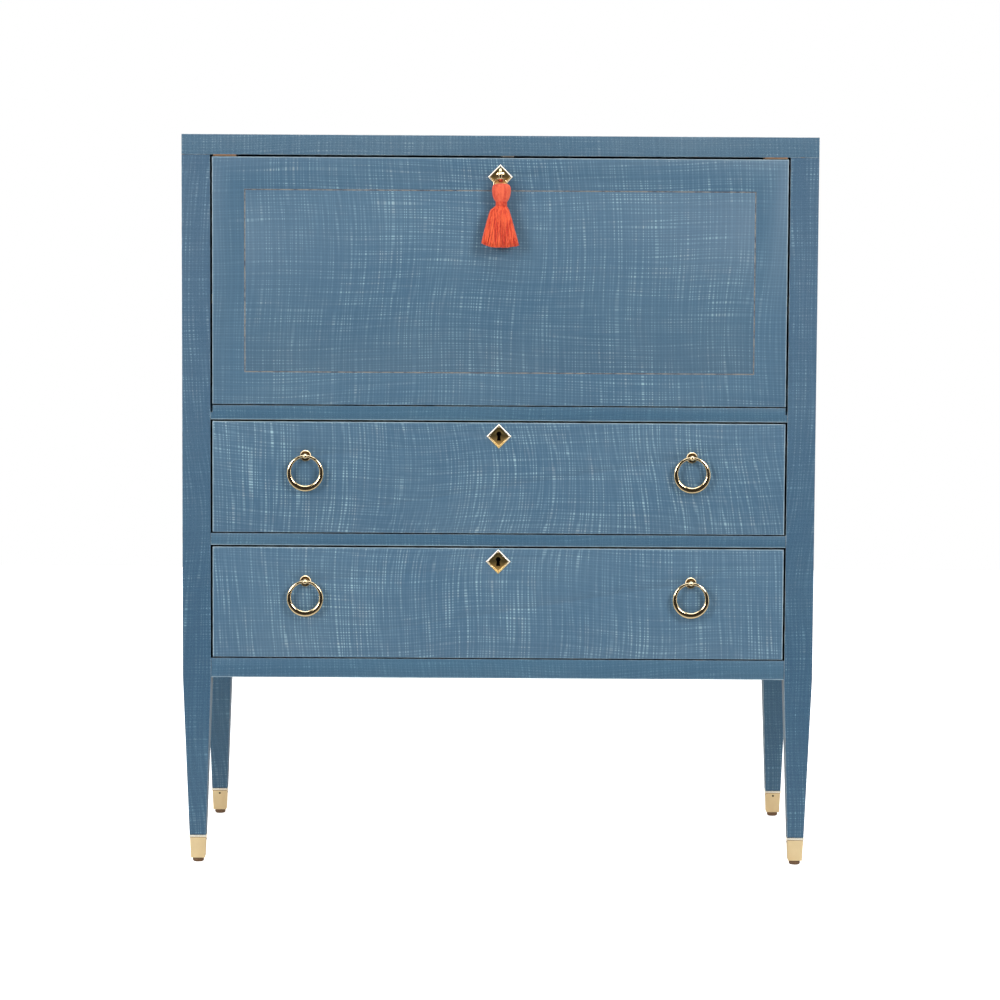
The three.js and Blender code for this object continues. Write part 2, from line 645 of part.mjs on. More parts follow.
// The stud of a pull: a ball on a stem that rises from a flat rosette with a sloping rim. It is turned in
// one piece with its threaded rod, and bored across for the ring.
function pullStud() {
  const { ball, ballY, stem, rod, rodEnd } = STUD;
  const { radius, back, edge, rim, field, foot } = ROSETTE;
  const { slope, crest, fall } = ROSETTE_RIM;
  const profile = [
    [0, rodEnd],
    [rod, rodEnd],
    [rod, back],
    [radius, back],
    [radius, -edge],
    [radius - slope, -rim],
    [radius - slope - crest, -rim],
    [radius - slope - crest - fall, -field],
    [stem + foot, -field],
    [stem, -field - foot],
  ];
  const start = Math.acos(stem / ball);
  const steps = 7;
  for (let i = 0; i <= steps; i += 1) {
    const turn = start - ((start + Math.PI / 2) * i) / steps;
    profile.push([i === steps ? 0 : ball * Math.cos(turn), ballY + ball * Math.sin(turn)]);
  }
  const eye = rodOnX(topWire + WIRE_ROOM, span(ball + THROUGH), 14);
  return cut(turnedOnY(profile, 16), at(eye, ballY, 0));
}

function drawerFront() {
  const panel = block(span(frontX), [0, FRONT], [0, DRAWER]);
  const mortises = lockCuts(DRAWER_KEY_DROP).map((tool) => at(tool, 0, DRAWER));
  const bores = SIDES.map(([, side]) => {
    const bore = rodOnY(STUD.rod + FIT, [-THROUGH, FRONT + THROUGH], 14);
    return bore.translate(side * PULL_X, 0, DRAWER / 2 + PULL_RISE);
  });
  return cut(panel, ...mortises, ...bores);
}

// The two sides and the back in one, as they are glued up.
function drawerBox() {
  const z = [sideFoot, DRAWER - DRAWER_SIDE_DROP];
  const outside = block(span(frontX), [FRONT + SEAM, DRAWER_BACK_Y], z);
  const inside = block(
    span(frontX - DRAWER_SIDE),
    [0, DRAWER_BACK_Y - DRAWER_SIDE],
    [z[0] - THROUGH, z[1] + THROUGH],
  );
  return cut(outside, inside);
}

function drawerBottom() {
  const z = sideFoot + GROOVE_RISE;
  const half = frontX - DRAWER_SIDE - SEAM;
  return block(span(half), [FRONT + SEAM, DRAWER_BACK_Y - DRAWER_SIDE - SEAM], [z, z + DRAWER_BOTTOM]);
}

function drawer(name, z) {
  const keyHeight = DRAWER - DRAWER_KEY_DROP;
  const studZ = DRAWER / 2 + PULL_RISE;
  const pulls = SIDES.flatMap(([hand, side]) => [
    mesh(`${name}_${hand}_pull_stud`, pullStud(), brass, [side * PULL_X, 0, studZ]),
    mesh(`${name}_${hand}_pull_ring`, crescentRing(), brass, [side * PULL_X, STUD.ballY, studZ]),
  ]);
  return assembly(
    [0, 0, z],
    mesh(`${name}_front`, drawerFront(), bluePaint),
    mesh(`${name}_box`, drawerBox(), bareWood),
    mesh(`${name}_bottom`, drawerBottom(), bareWood),
    mesh(`${name}_escutcheon`, escutcheon(), brass, [0, -SEAM, keyHeight - KEYHOLE_RISE]),
    mesh(`${name}_lock_case`, lockCase(DRAWER_KEY_DROP, 0), brass, [0, 0, DRAWER]),
    mesh(`${name}_bolt`, lockBolt(0), brass, [0, 0, DRAWER]),
    ...pulls,
  );
}

// ---------------------------------------------------------------- pigeonhole rack and its drawer
const RACK = { depth: 200, height: 230, board: 9, dividerX: 150, sideShelf: 112, drawerShelf: 84 };
const TRAY = { gap: 1, front: 8, wall: 6, floor: 5, backGap: 10 };
const rackY = [backY - SEAM - RACK.depth, backY - SEAM];

// Rack and tray are drawn from the desk floor up.
function rack() {
  const { board, height, dividerX, sideShelf, drawerShelf } = RACK;
  const endX = bayX - SEAM - FIT;
  const upright = (x) => block([x - board / 2, x + board / 2], rackY, [FIT, height]);
  const shelf = (x0, x1, z) => block([x0, x1], rackY, [z, z + board]);
  return join(
    shelf(-endX, endX, height - board),
    ...[-endX + board / 2, -dividerX, dividerX, endX - board / 2].map(upright),
    shelf(-endX, -dividerX, sideShelf),
    shelf(dividerX, endX, sideShelf),
    shelf(-dividerX, dividerX, drawerShelf),
  );
}

function tray() {
  const half = RACK.dividerX - RACK.board / 2 - TRAY.gap;
  const y = [rackY[0], rackY[1] - TRAY.backGap];
  const z = [TRAY.gap, RACK.drawerShelf - TRAY.gap];
  const well = block(
    span(half - TRAY.wall),
    [y[0] + TRAY.front, y[1] - TRAY.wall],
    [z[0] + TRAY.floor, z[1] + THROUGH],
  );
  return cut(block(span(half), y, z), well);
}

function interior() {
  return assembly(
    [0, 0, deskZ],
    mesh('pigeonhole_rack', rack(), bareWood),
    mesh('inner_drawer_tray', tray(), bareWood),
  );
}

// ---------------------------------------------------------------- the whole desk
const group = assembly(
  [0, frontY, 0],
  ...carcass(),
  ...flap(),
  ...keyAndTassel(),
  drawer('upper_drawer', upperDrawerZ),
  drawer('lower_drawer', lowerDrawerZ),
  interior(),
);

export default group;
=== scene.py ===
"""Looks for the drop-front desk: brushed blue paint, polished brass, bare wood inside, and a thread tassel.

Everything is in metres in the desk's own frame: +Z up, +X to the right, and the front faces towards -Y.
"""

import math
import random

import bmesh
import bpy
from mathutils import Matrix, Vector


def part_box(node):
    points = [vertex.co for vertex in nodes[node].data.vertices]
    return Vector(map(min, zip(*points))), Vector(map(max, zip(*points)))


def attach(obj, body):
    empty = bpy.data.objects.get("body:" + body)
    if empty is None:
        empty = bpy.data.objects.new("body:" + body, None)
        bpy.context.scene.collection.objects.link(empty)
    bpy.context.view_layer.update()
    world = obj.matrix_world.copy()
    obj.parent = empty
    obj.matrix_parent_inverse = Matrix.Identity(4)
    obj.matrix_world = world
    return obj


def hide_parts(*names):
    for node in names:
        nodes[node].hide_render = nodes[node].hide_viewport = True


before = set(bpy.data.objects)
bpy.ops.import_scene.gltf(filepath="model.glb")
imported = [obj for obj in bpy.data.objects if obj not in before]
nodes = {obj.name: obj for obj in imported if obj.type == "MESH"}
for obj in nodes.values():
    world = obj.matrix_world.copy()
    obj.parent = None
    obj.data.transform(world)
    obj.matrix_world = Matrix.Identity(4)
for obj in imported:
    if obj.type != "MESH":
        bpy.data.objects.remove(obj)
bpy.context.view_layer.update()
random.seed(7)  # the threads of the tassel's skirt are the same on every run

MM = 0.001
SIDES = (("left", -1), ("right", 1))
ROWS = ("front", "rear")
DRAWERS = ("upper_drawer", "lower_drawer")
FRONTS = ("flap", *DRAWERS)  # each has a lock


# ------------------------------------------------------------------ places taken from the frame
def centre(node):
    low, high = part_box(node)
    return (low + high) / 2


FRONT_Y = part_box("flap_panel")[0].y  # plane of the painted faces
SLAB_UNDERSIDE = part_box("top_slab")[0].z
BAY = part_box("front_right_leg")[0].x  # half the width of the opening between the posts
APRON_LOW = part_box("apron_rail")[0].z
SABOT_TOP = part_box("front_left_sabot")[1].z
RING = centre("key_ring")
RING_WIRE = 0.8 * MM
RING_RADIUS = (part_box("key_ring")[1].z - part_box("key_ring")[0].z) / 2 - RING_WIRE
TASSEL_LOW, TASSEL_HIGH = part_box("tassel")


# ------------------------------------------------------------------ node helpers
class Shader:
    """A material under construction. Each method adds one node and returns its output socket."""

    def __init__(self, name, roughness=0.5, metallic=0.0, specular=0.5):
        self.material = bpy.data.materials.new(name)
        self.material.use_nodes = True
        self.tree = self.material.node_tree
        self.surface = self.tree.nodes["Principled BSDF"]
        self.surface.inputs["Roughness"].default_value = roughness
        self.surface.inputs["Metallic"].default_value = metallic
        self.surface.inputs["Specular IOR Level"].default_value = specular
        self.object_point = self.tree.nodes.new("ShaderNodeTexCoord").outputs["Object"]

    def add(self, kind, inputs=None, **settings):
        node = self.tree.nodes.new(kind)
        for key, value in settings.items():
            setattr(node, key, value)
        for key, value in (inputs or {}).items():
            self.feed(node.inputs[key], value)
        return node

    def feed(self, socket, value):
        if isinstance(value, bpy.types.NodeSocket):
            self.tree.links.new(value, socket)
        elif isinstance(value, tuple) and len(value) == 3 and socket.type == "RGBA":
            socket.default_value = (*value, 1)
        else:
            socket.default_value = value

    def math(self, operation, first, second=0.0, third=0.0):
        inputs = {0: first, 1: second, 2: third}
        return self.add("ShaderNodeMath", inputs, operation=operation).outputs[0]

    def times(self, first, second):
        return self.math("MULTIPLY", first, second)

    def plus(self, first, second):
        return self.math("ADD", first, second)

    def minus(self, first, second):
        return self.math("SUBTRACT", first, second)

    def absolute(self, value):
        return self.math("ABSOLUTE", value)

    def noise(self, vector, scale=1.0, detail=2.0, roughness=0.5):
        inputs = {"Vector": vector, "Scale": scale, "Detail": detail, "Roughness": roughness}
        return self.add("ShaderNodeTexNoise", inputs).outputs["Fac"]

    def step(self, value, low, high):
        """0 below low, 1 above high, smooth between them."""
        inputs = {"Value": value, "From Min": low, "From Max": high}
        return self.add("ShaderNodeMapRange", inputs, interpolation_type="SMOOTHSTEP").outputs[0]

    def between(self, value, low, high):
        """A value from 0 to 1 spread over low to high."""
        return self.add("ShaderNodeMapRange", {"Value": value, "To Min": low, "To Max": high}).outputs[0]

    def split(self, vector):
        return self.add("ShaderNodeSeparateXYZ", {0: vector}).outputs

    def point(self, x=0.0, y=0.0, z=0.0):
        return self.add("ShaderNodeCombineXYZ", {0: x, 1: y, 2: z}).outputs[0]

    def mix(self, factor, first, second, blend="MIX"):
        node = self.add("ShaderNodeMix", data_type="RGBA", blend_type=blend)
        self.feed(node.inputs["Factor"], factor)
        self.feed(node.inputs["A"], first)
        self.feed(node.inputs["B"], second)
        return node.outputs["Result"]

    def either(self, factor, first, second):
        """One number or the other."""
        node = self.add("ShaderNodeMix", data_type="FLOAT")
        self.feed(node.inputs["Factor"], factor)
        self.feed(node.inputs["A"], first)
        self.feed(node.inputs["B"], second)
        return node.outputs["Result"]

    def colour(self, value):
        self.feed(self.surface.inputs["Base Color"], value)

    def rough(self, value):
        self.feed(self.surface.inputs["Roughness"], value)

    def bump(self, height, distance, strength=1.0):
        inputs = {"Height": height, "Distance": distance, "Strength": strength}
        normal = self.add("ShaderNodeBump", inputs).outputs["Normal"]
        self.feed(self.surface.inputs["Normal"], normal)


def linear(red, green, blue):
    """An sRGB colour of 0 to 255 as the linear values that the shaders use."""
    def one(value):
        value /= 255
        return value / 12.92 if value <= 0.04045 else ((value + 0.055) / 1.055) ** 2.4

    return one(red), one(green), one(blue)


# ------------------------------------------------------------------ paint
PAINT = linear(72, 99, 119)
PAINT_DEEP = linear(60, 89, 111)
PAINT_PALE = linear(84, 107, 123)
PAINT_HOLLOW = linear(46, 70, 90)
THREAD_COOL = linear(152, 176, 182)
THREAD_WARM = linear(150, 160, 162)
WORN_EDGE = linear(168, 190, 200)
GROUND_TAN = linear(158, 128, 100)
# painted shade in the seams where parts meet
SEAM_SHADE = linear(44, 40, 40)
# painted shade inside the gaps round the flap and the drawers
GAP_SHADE = linear(16, 18, 22)

WARP_PITCH = 5.2 * MM  # spacing of the upright threads
WEFT_PITCH = 4.4 * MM  # spacing of the level threads
RIM = 1.9 * MM  # how far the paint is rubbed in from an edge
BEHIND_EDGE = 1.2 * MM  # how far behind a front face the painted gap shade begins in full
DIAGONAL = 0.6  # a face whose normal has more than this along an axis counts as facing that way


def face_axes(shader):
    """The two directions across whichever flat face a point is on, in metres."""
    x, y, z = shader.split(shader.object_point)
    normal = shader.add("ShaderNodeTexCoord").outputs["Normal"]
    nx, _, nz = (shader.absolute(part) for part in shader.split(normal))
    sideways = shader.math("GREATER_THAN", nx, DIAGONAL)
    upwards = shader.math("GREATER_THAN", nz, DIAGONAL)
    across = shader.either(sideways, x, y)
    along = shader.either(upwards, z, y)
    return across, along


def threads(shader, across, along, seed, pitch, wander):
    """Threads of the linen under the paint, which run in the direction of along and bend a little.

    Returns how high the cloth stands at a point, and how far the paint is rubbed off that thread there.
    """
    drift = shader.noise(shader.point(shader.times(across, 1.6), shader.times(along, 2.6), seed), detail=1)
    uneven = shader.noise(shader.point(shader.times(across, 110), shader.times(along, 4), seed + 2), detail=1)
    shift = shader.plus(shader.times(drift, wander), shader.times(uneven, 2.2 * pitch))
    count = shader.times(shader.plus(across, shift), 1 / pitch)
    offset = shader.absolute(shader.minus(shader.math("FRACT", count), 0.5))
    number = shader.math("FLOOR", count)
    rubbing = shader.noise(shader.point(shader.times(number, 3.7), shader.times(along, 11), seed), detail=2)
    return shader.step(offset, 0.3, 0.06), shader.step(rubbing, 0.36, 0.66)


def worn_rim_and_gap_shade(shader, painted, box, joined_ends):
    """Rubs the paint pale just inside the edges of a front, and paints gap shade on the edges behind.

    A flap or drawer front is worn at its ends and its upper edge, and hardly at its lower one. A rail is
    worn along its lower edge, and its ends, joined to the posts, get a line of painted seam shade instead.
    """
    low, high = box
    x, y, z = shader.split(shader.object_point)
    beside = shader.math("MINIMUM", shader.minus(x, low.x), shader.minus(high.x, x))
    from_foot, from_top = shader.minus(z, low.z), shader.minus(high.z, z)
    wear = shader.noise(shader.object_point, scale=60, detail=3)
    worn = from_foot if joined_ends else shader.math("MINIMUM", beside, from_top)
    spared = from_top if joined_ends else from_foot
    faint_rim = shader.times(shader.step(spared, 1.5 * MM, 0.6 * MM), 0.15)
    rim = shader.math("MAXIMUM", shader.step(worn, RIM, 0.6 * MM), faint_rim)
    worn_most = 0.8 if joined_ends else 1.1
    rubbed = shader.mix(shader.times(rim, shader.between(wear, 0.0, worn_most)), painted, WORN_EDGE)
    if joined_ends:
        # painted shade in the seam where a rail meets a post
        joint = shader.times(shader.step(beside, 1.0 * MM, 0.5 * MM), shader.step(wear, 0.3, 0.5))
        rubbed = shader.mix(shader.times(joint, 0.85), rubbed, SEAM_SHADE)
    # painted shade on the faces just behind the front, so the gaps round it read dark
    behind = shader.times(shader.step(y, low.y + 0.2 * MM, low.y + BEHIND_EDGE),
                          shader.step(y, high.y - 0.2 * MM, high.y - 1.5 * MM))
    return shader.mix(shader.times(behind, 0.95), rubbed, GAP_SHADE)


def post_gap_and_seam_shade(shader, painted):
    """Painted shade on the posts where they face the flap and the drawers, and at seams at their two ends."""
    x, y, z = shader.split(shader.object_point)
    # painted shade on the posts' faces in the gaps beside the flap and the drawers
    inner = shader.step(shader.absolute(x), BAY + 1.2 * MM, BAY + 0.4 * MM)
    behind = shader.step(y, FRONT_Y + 0.2 * MM, FRONT_Y + BEHIND_EDGE)
    over_apron = shader.step(z, APRON_LOW, APRON_LOW + MM)
    gap_shaded = shader.times(shader.times(inner, behind), over_apron)
    # painted shade in the seams over the sabot and under the slab
    over_sabot = shader.times(shader.step(z, SABOT_TOP + 1.6 * MM, SABOT_TOP + 0.7 * MM), 0.8)
    under_slab = shader.times(shader.step(z, SLAB_UNDERSIDE - 1.1 * MM, SLAB_UNDERSIDE - 0.6 * MM), 0.6)
    painted = shader.mix(shader.times(gap_shaded, 0.95), painted, GAP_SHADE)
    return shader.mix(shader.math("MAXIMUM", over_sabot, under_slab), painted, SEAM_SHADE)


def woven_marks(shader, across, along, seed, wander, upright, level, crossing, fleck):
    """Where the threads show pale through the paint.

    Returns the marks, how deep a point lies between the threads, and the fine grain.
    """
    place = shader.point(across, along, seed)
    crossways = shader.point(along, across, seed + 3)
    warp_height, warp_rubbed = threads(shader, across, along, seed + 1.3, WARP_PITCH, wander)
    weft_height, weft_rubbed = threads(shader, along, across, seed + 7.7, WEFT_PITCH, wander * 0.5)
    warp = shader.times(shader.times(warp_height, warp_rubbed), shader.between(weft_height, 0.6, 1.5))
    weft = shader.times(shader.times(weft_height, weft_rubbed), shader.between(warp_height, 0.5, 1.7))
    warp_rub, weft_rub = (
        shader.between(shader.step(shader.noise(where, scale=6, detail=3), 0.3, 0.7), 0.4, 1.3)
        for where in (place, crossways))
    grain = shader.noise(place, scale=620, detail=2, roughness=0.8)
    specks = shader.step(grain, 0.56, 0.74)

    warp_marks = shader.times(shader.times(warp, warp_rub), 0.34 * upright)
    weft_marks = shader.times(shader.times(weft, weft_rub), 0.28 * level)
    knot_rub = shader.times(shader.plus(warp_rub, weft_rub), 0.2 * crossing)
    knots = shader.times(shader.times(warp, weft), knot_rub)
    woven = shader.plus(shader.plus(warp_marks, weft_marks), knots)
    woven = shader.times(woven, shader.between(grain, 0.5, 1.5))
    marks = shader.math("MINIMUM", shader.plus(woven, shader.times(specks, 0.3 * fleck)), 0.9)
    hollow = shader.minus(1.0, shader.math("MAXIMUM", warp_height, weft_height))
    return marks, hollow, grain


def linen_paint(name, upright=1.0, level=1.0, crossing=1.0, fleck=0.3, wander=60 * MM, tint=(1, 1, 1),
                foot_tint=None, seed=0.0, rim=None, joined_ends=False, gap_shaded=False, sheen=0.35,
                plain_ends=0.0):
    """Satin paint over linen, rubbed back so that the threads show pale and their crossings palest.

    upright and level weigh the threads that run each way, and fleck weighs the small loose specks. The
    colour is multiplied by tint, which turns to foot_tint towards the floor. rim is the box of a front
    whose edges are rubbed, with painted gap shade behind them, and whose threads fade over plain_ends
    towards its two ends. The flag for the posts adds painted shade where they face the gaps and at their
    seams. sheen is the paint's share of mirror reflection.
    """
    shader = Shader(name, specular=sheen)
    across, along = face_axes(shader)
    place = shader.point(across, along, seed)
    marks, hollow, grain = woven_marks(shader, across, along, seed, wander, upright, level, crossing, fleck)
    if plain_ends:
        from_middle = shader.absolute(shader.split(shader.object_point)[0])
        inward = shader.step(from_middle, rim[1].x, rim[1].x - plain_ends)
        marks = shader.times(marks, shader.between(inward, 0.3, 1.0))

    patches = shader.step(shader.noise(place, scale=5, detail=3), 0.3, 0.72)
    base = shader.mix(0.6, shader.mix(patches, PAINT_DEEP, PAINT_PALE), PAINT)
    base = shader.mix(shader.times(hollow, 0.22), base, PAINT_HOLLOW)
    warmth = shader.step(shader.noise(place, scale=40, detail=1), 0.45, 0.7)
    thread_tone = shader.mix(warmth, THREAD_COOL, THREAD_WARM)
    painted = shader.mix(marks, base, thread_tone)
    height = shader.split(shader.object_point)[2]
    shade = shader.mix(shader.step(height, 0.15, 1.0), foot_tint or tint, tint)
    painted = shader.mix(1.0, painted, shade, blend="MULTIPLY")
    if rim:
        painted = worn_rim_and_gap_shade(shader, painted, rim, joined_ends)
    if gap_shaded:
        painted = post_gap_and_seam_shade(shader, painted)
    shader.colour(painted)
    shader.rough(shader.between(shader.plus(marks, shader.times(grain, 0.4)), 0.42, 0.62))
    shader.bump(shader.plus(marks, shader.times(grain, 0.3)), 0.15 * MM, 0.5)
    return shader.material


def worn_edge(name):
    """Paint rubbed thin along an edge: mostly pale, in places down to the tan ground under the paint."""
    shader = Shader(name, roughness=0.5)
    wear = shader.noise(shader.object_point, scale=45, detail=4, roughness=0.6)
    fine = shader.noise(shader.object_point, scale=420, detail=2)
    rubbed = shader.step(shader.plus(wear, shader.times(fine, 0.4)), 0.5, 0.85)
    through = shader.step(shader.noise(shader.object_point, scale=130, detail=3, roughness=0.7), 0.56, 0.66)
    pale = shader.mix(rubbed, PAINT, WORN_EDGE)
    shader.colour(shader.mix(shader.times(through, 0.8), pale, GROUND_TAN))
    shader.bump(fine, 0.1 * MM, 0.4)
    return shader.material


# ------------------------------------------------------------------ wood, metal, plastic
BRASS = linear(240, 218, 176)


def bare_wood(name, pale=linear(206, 172, 128), dark=linear(164, 122, 78), seed=0.0):
    """Planed wood with its grain running level along every face."""
    shader = Shader(name, specular=0.35)
    across, along = face_axes(shader)
    place = shader.point(shader.times(across, 0.07), along, seed)
    bands = shader.noise(place, scale=28, detail=3, roughness=0.55)
    rings = shader.math("PINGPONG", shader.times(bands, 9), 1.0)
    pores = shader.step(shader.noise(place, scale=900, detail=1), 0.62, 0.75)
    tone = shader.noise(shader.object_point, scale=3.5, detail=2)
    figure = shader.plus(shader.times(rings, 0.55), shader.times(tone, 0.4))
    wood = shader.mix(figure, pale, dark)
    shader.colour(shader.mix(shader.times(pores, 0.45), wood, linear(112, 76, 44)))
    shader.rough(shader.between(rings, 0.5, 0.68))
    shader.bump(shader.minus(rings, pores), 0.12 * MM, 0.35)
    return shader.material


def polished_brass(name, tone=BRASS, roughness=0.11, smear=0.08, scratch=0.1):
    """Brass buffed bright, with fine polishing marks and a few duller smears."""
    shader = Shader(name, metallic=1.0)
    dull = shader.step(shader.noise(shader.object_point, scale=70, detail=3), 0.4, 0.75)
    hairlines = shader.noise(shader.object_point, scale=1700, detail=1)
    tarnished = tuple(part * factor for part, factor in zip(tone, (0.86, 0.78, 0.66)))
    shader.colour(shader.mix(shader.times(dull, 0.4), tone, tarnished))
    streaked = shader.between(hairlines, roughness * 0.8, roughness * 1.2)
    shader.rough(shader.plus(shader.times(dull, smear), streaked))
    shader.bump(hairlines, 0.01 * MM, scratch)
    return shader.material


def sabot_brass(name, lip_low):
    """Satin brass: a polished top band with painted highlight, and a fine painted shadow line under it."""
    shader = Shader(name, metallic=1.0)
    height = shader.split(shader.object_point)[2]
    lip = shader.step(height, lip_low, lip_low + 0.3 * MM)
    # painted shadow line under the lip
    line = shader.times(shader.step(height, lip_low - 0.9 * MM, lip_low - 0.5 * MM), shader.minus(1, lip))
    haze = shader.noise(shader.object_point, scale=55, detail=3)
    brushed = shader.noise(shader.object_point, scale=1500, detail=1)
    body = shader.mix(haze, linear(246, 228, 188), linear(232, 210, 168))
    # the lip's near-white colour is a painted highlight
    shader.colour(shader.mix(line, shader.mix(lip, body, linear(255, 252, 240)), linear(132, 90, 52)))
    shader.rough(shader.plus(shader.between(brushed, 0.34, 0.42), shader.times(lip, -0.12)))
    shader.bump(brushed, 0.01 * MM, 0.15)
    return shader.material


def stud_brass(name, box):
    """Bright brass, painted brown in the flat of the rosette behind the ball as a painted reflection."""
    middle = (box[0] + box[1]) / 2
    flat_radius = 7.2 * MM
    flat_rise = 2.3 * MM
    shader = Shader(name, metallic=1.0)
    x, y, z = shader.split(shader.object_point)
    from_axis = shader.point(shader.minus(x, middle.x), 0.0, shader.minus(z, middle.z))
    radius = shader.add("ShaderNodeVectorMath", {0: from_axis}, operation="LENGTH").outputs["Value"]
    flat = shader.times(shader.step(radius, flat_radius + 0.5 * MM, flat_radius),
                        shader.step(y, FRONT_Y - flat_rise - 0.6 * MM, FRONT_Y - flat_rise))
    brushed = shader.noise(shader.object_point, scale=1700, detail=1)
    # the brown of the flat is a painted reflection
    shader.colour(shader.mix(flat, BRASS, linear(110, 84, 50)))
    shader.rough(shader.plus(shader.between(brushed, 0.09, 0.13), shader.times(flat, 0.2)))
    shader.bump(brushed, 0.01 * MM, 0.1)
    return shader.material


def escutcheon_brass(name, box):
    """Polished on the raised rim of a diamond plate, brushed in its sunken field, with painted reflections.
    """
    low, high = box
    shader = Shader(name, metallic=1.0)
    x, _, z = shader.split(shader.object_point)
    rise = shader.minus(z, (low.z + high.z) / 2)
    aside = shader.absolute(shader.minus(x, (low.x + high.x) / 2))
    slant = shader.plus(aside, shader.absolute(rise))
    reach = (high.x - low.x) / 2
    field = shader.step(slant, reach - 2.9 * MM, reach - 3.6 * MM)
    # painted reflections: the rim near white above and gold below, the field dark brown above and gold below
    lower = shader.step(rise, 0.1 * reach, -0.7 * reach)
    rim_reflection = shader.mix(lower, linear(255, 248, 234), linear(255, 226, 160))
    field_tone_and_reflection = shader.mix(lower, linear(118, 102, 66), linear(255, 208, 130))
    brushed = shader.noise(shader.object_point, scale=1600, detail=1)
    shader.colour(shader.mix(field, rim_reflection, field_tone_and_reflection))
    shader.rough(shader.plus(shader.between(brushed, 0.1, 0.14), shader.times(field, 0.32)))
    shader.bump(brushed, 0.01 * MM, 0.2)
    return shader.material


def blackened_iron(name):
    """Iron left black from the forge, as a lock case often is, and as painted shade behind keyholes."""
    shader = Shader(name, specular=0.25)
    scale = shader.noise(shader.object_point, scale=220, detail=4)
    shader.colour(shader.mix(scale, linear(14, 13, 12), linear(38, 35, 33)))
    shader.rough(shader.between(scale, 0.45, 0.75))
    shader.bump(scale, 0.1 * MM, 0.4)
    return shader.material


def plain_steel(name):
    """Bare steel with brush marks along it."""
    shader = Shader(name, metallic=1.0)
    x, y, z = shader.split(shader.object_point)
    brushed = shader.noise(shader.point(shader.times(x, 60), shader.times(y, 1500), z), detail=2)
    shader.colour(shader.mix(brushed, linear(150, 142, 132), linear(196, 188, 176)))
    shader.rough(shader.between(brushed, 0.3, 0.5))
    shader.bump(brushed, 0.03 * MM, 0.3)
    return shader.material


def moulded_plastic(name):
    """Brown plastic with the fine grain of its mould."""
    shader = Shader(name, specular=0.4)
    haze = shader.noise(shader.object_point, scale=160, detail=3)
    texture = shader.noise(shader.object_point, scale=2600, detail=1)
    shader.colour(shader.mix(haze, linear(84, 62, 42), linear(112, 84, 58)))
    shader.rough(shader.between(haze, 0.42, 0.6))
    shader.bump(texture, 0.06 * MM, 0.5)
    return shader.material


def spun_thread(name, pale=linear(246, 106, 62), deep=linear(196, 42, 28), sheen=0.15):
    """Coral thread, with painted highlight on its twist and painted shade in between."""
    shader = Shader(name, roughness=0.62, specular=0.3)
    shader.surface.inputs["Sheen Weight"].default_value = sheen
    shader.surface.inputs["Sheen Roughness"].default_value = 0.4
    x, y, z = shader.split(shader.object_point)
    twist = shader.noise(shader.point(shader.times(x, 900), shader.times(y, 900), shader.times(z, 260)))
    bunches = shader.noise(shader.point(shader.times(x, 420), shader.times(y, 420), shader.times(z, 16)))
    # painted highlight on the twist and painted shade between, with random bunches along the thread
    tone = shader.plus(shader.times(twist, 0.4), shader.times(bunches, 0.75))
    shader.colour(shader.mix(shader.step(tone, 0.4, 0.72), deep, pale))
    shader.bump(twist, 0.1 * MM, 0.6)
    return shader.material


side_paint = linen_paint("paint_sides", upright=0.65, level=0.5, crossing=0.6, tint=(1.0, 1.12, 1.2),
                         seed=17.0)
# the posts carry painted shade where they face the gaps and at their seams
post_paint = linen_paint("paint_posts", upright=0.3, level=0.12, crossing=0.6, fleck=1.5,
                         tint=(0.85, 0.95, 1.04), foot_tint=(0.55, 0.76, 0.88), seed=11.0, gap_shaded=True)
top_paint = linen_paint("paint_top", upright=0.15, level=0.15, crossing=0.3, fleck=1.5,
                        tint=(1.36, 1.29, 1.26), seed=31.0, sheen=0.06)
edge_paint = worn_edge("paint_edges")


# ------------------------------------------------------------------ mesh helpers
def new_piece(name, mesh_maker, material, body, smooth=True):
    """Builds a mesh with mesh_maker(bm), gives it a material and lets it ride on a CAD body."""
    bm = bmesh.new()
    mesh_maker(bm)
    bmesh.ops.recalc_face_normals(bm, faces=bm.faces)
    mesh = bpy.data.meshes.new(name)
    bm.to_mesh(mesh)
    bm.free()
    for polygon in mesh.polygons:
        polygon.use_smooth = smooth
    mesh.materials.append(material)
    piece = bpy.data.objects.new(name, mesh)
    bpy.context.scene.collection.objects.link(piece)
    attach(piece, body)
    return piece


def frame_at(position, outwards):
    """A matrix whose +Z points outwards from position."""
    rotation = Vector(outwards).to_track_quat("Z", "Y").to_matrix().to_4x4()
    return Matrix.Translation(position) @ rotation


def in_mm(*profile):
    """(radius, height) points given in millimetres, in metres."""
    return [(radius * MM, height * MM) for radius, height in profile]


def lathe(bm, profile, matrix, segments=32):
    """Turns (radius, height) points about the matrix's Z axis. The profile starts and ends on the axis."""
    rings = []
    for radius, height in profile:
        if radius == 0:
            rings.append([bm.verts.new(matrix @ Vector((0, 0, height)))])
            continue
        ring = []
        for step in range(segments):
            angle = math.tau * step / segments
            point = Vector((radius * math.cos(angle), radius * math.sin(angle), height))
            ring.append(bm.verts.new(matrix @ point))
        rings.append(ring)
    for low, high in zip(rings, rings[1:]):
        for step in range(segments):
            after = (step + 1) % segments
            corners = []
            for ring, index in ((low, step), (low, after), (high, after), (high, step)):
                vertex = ring[index % len(ring)]
                if vertex not in corners:
                    corners.append(vertex)
            bm.faces.new(corners)


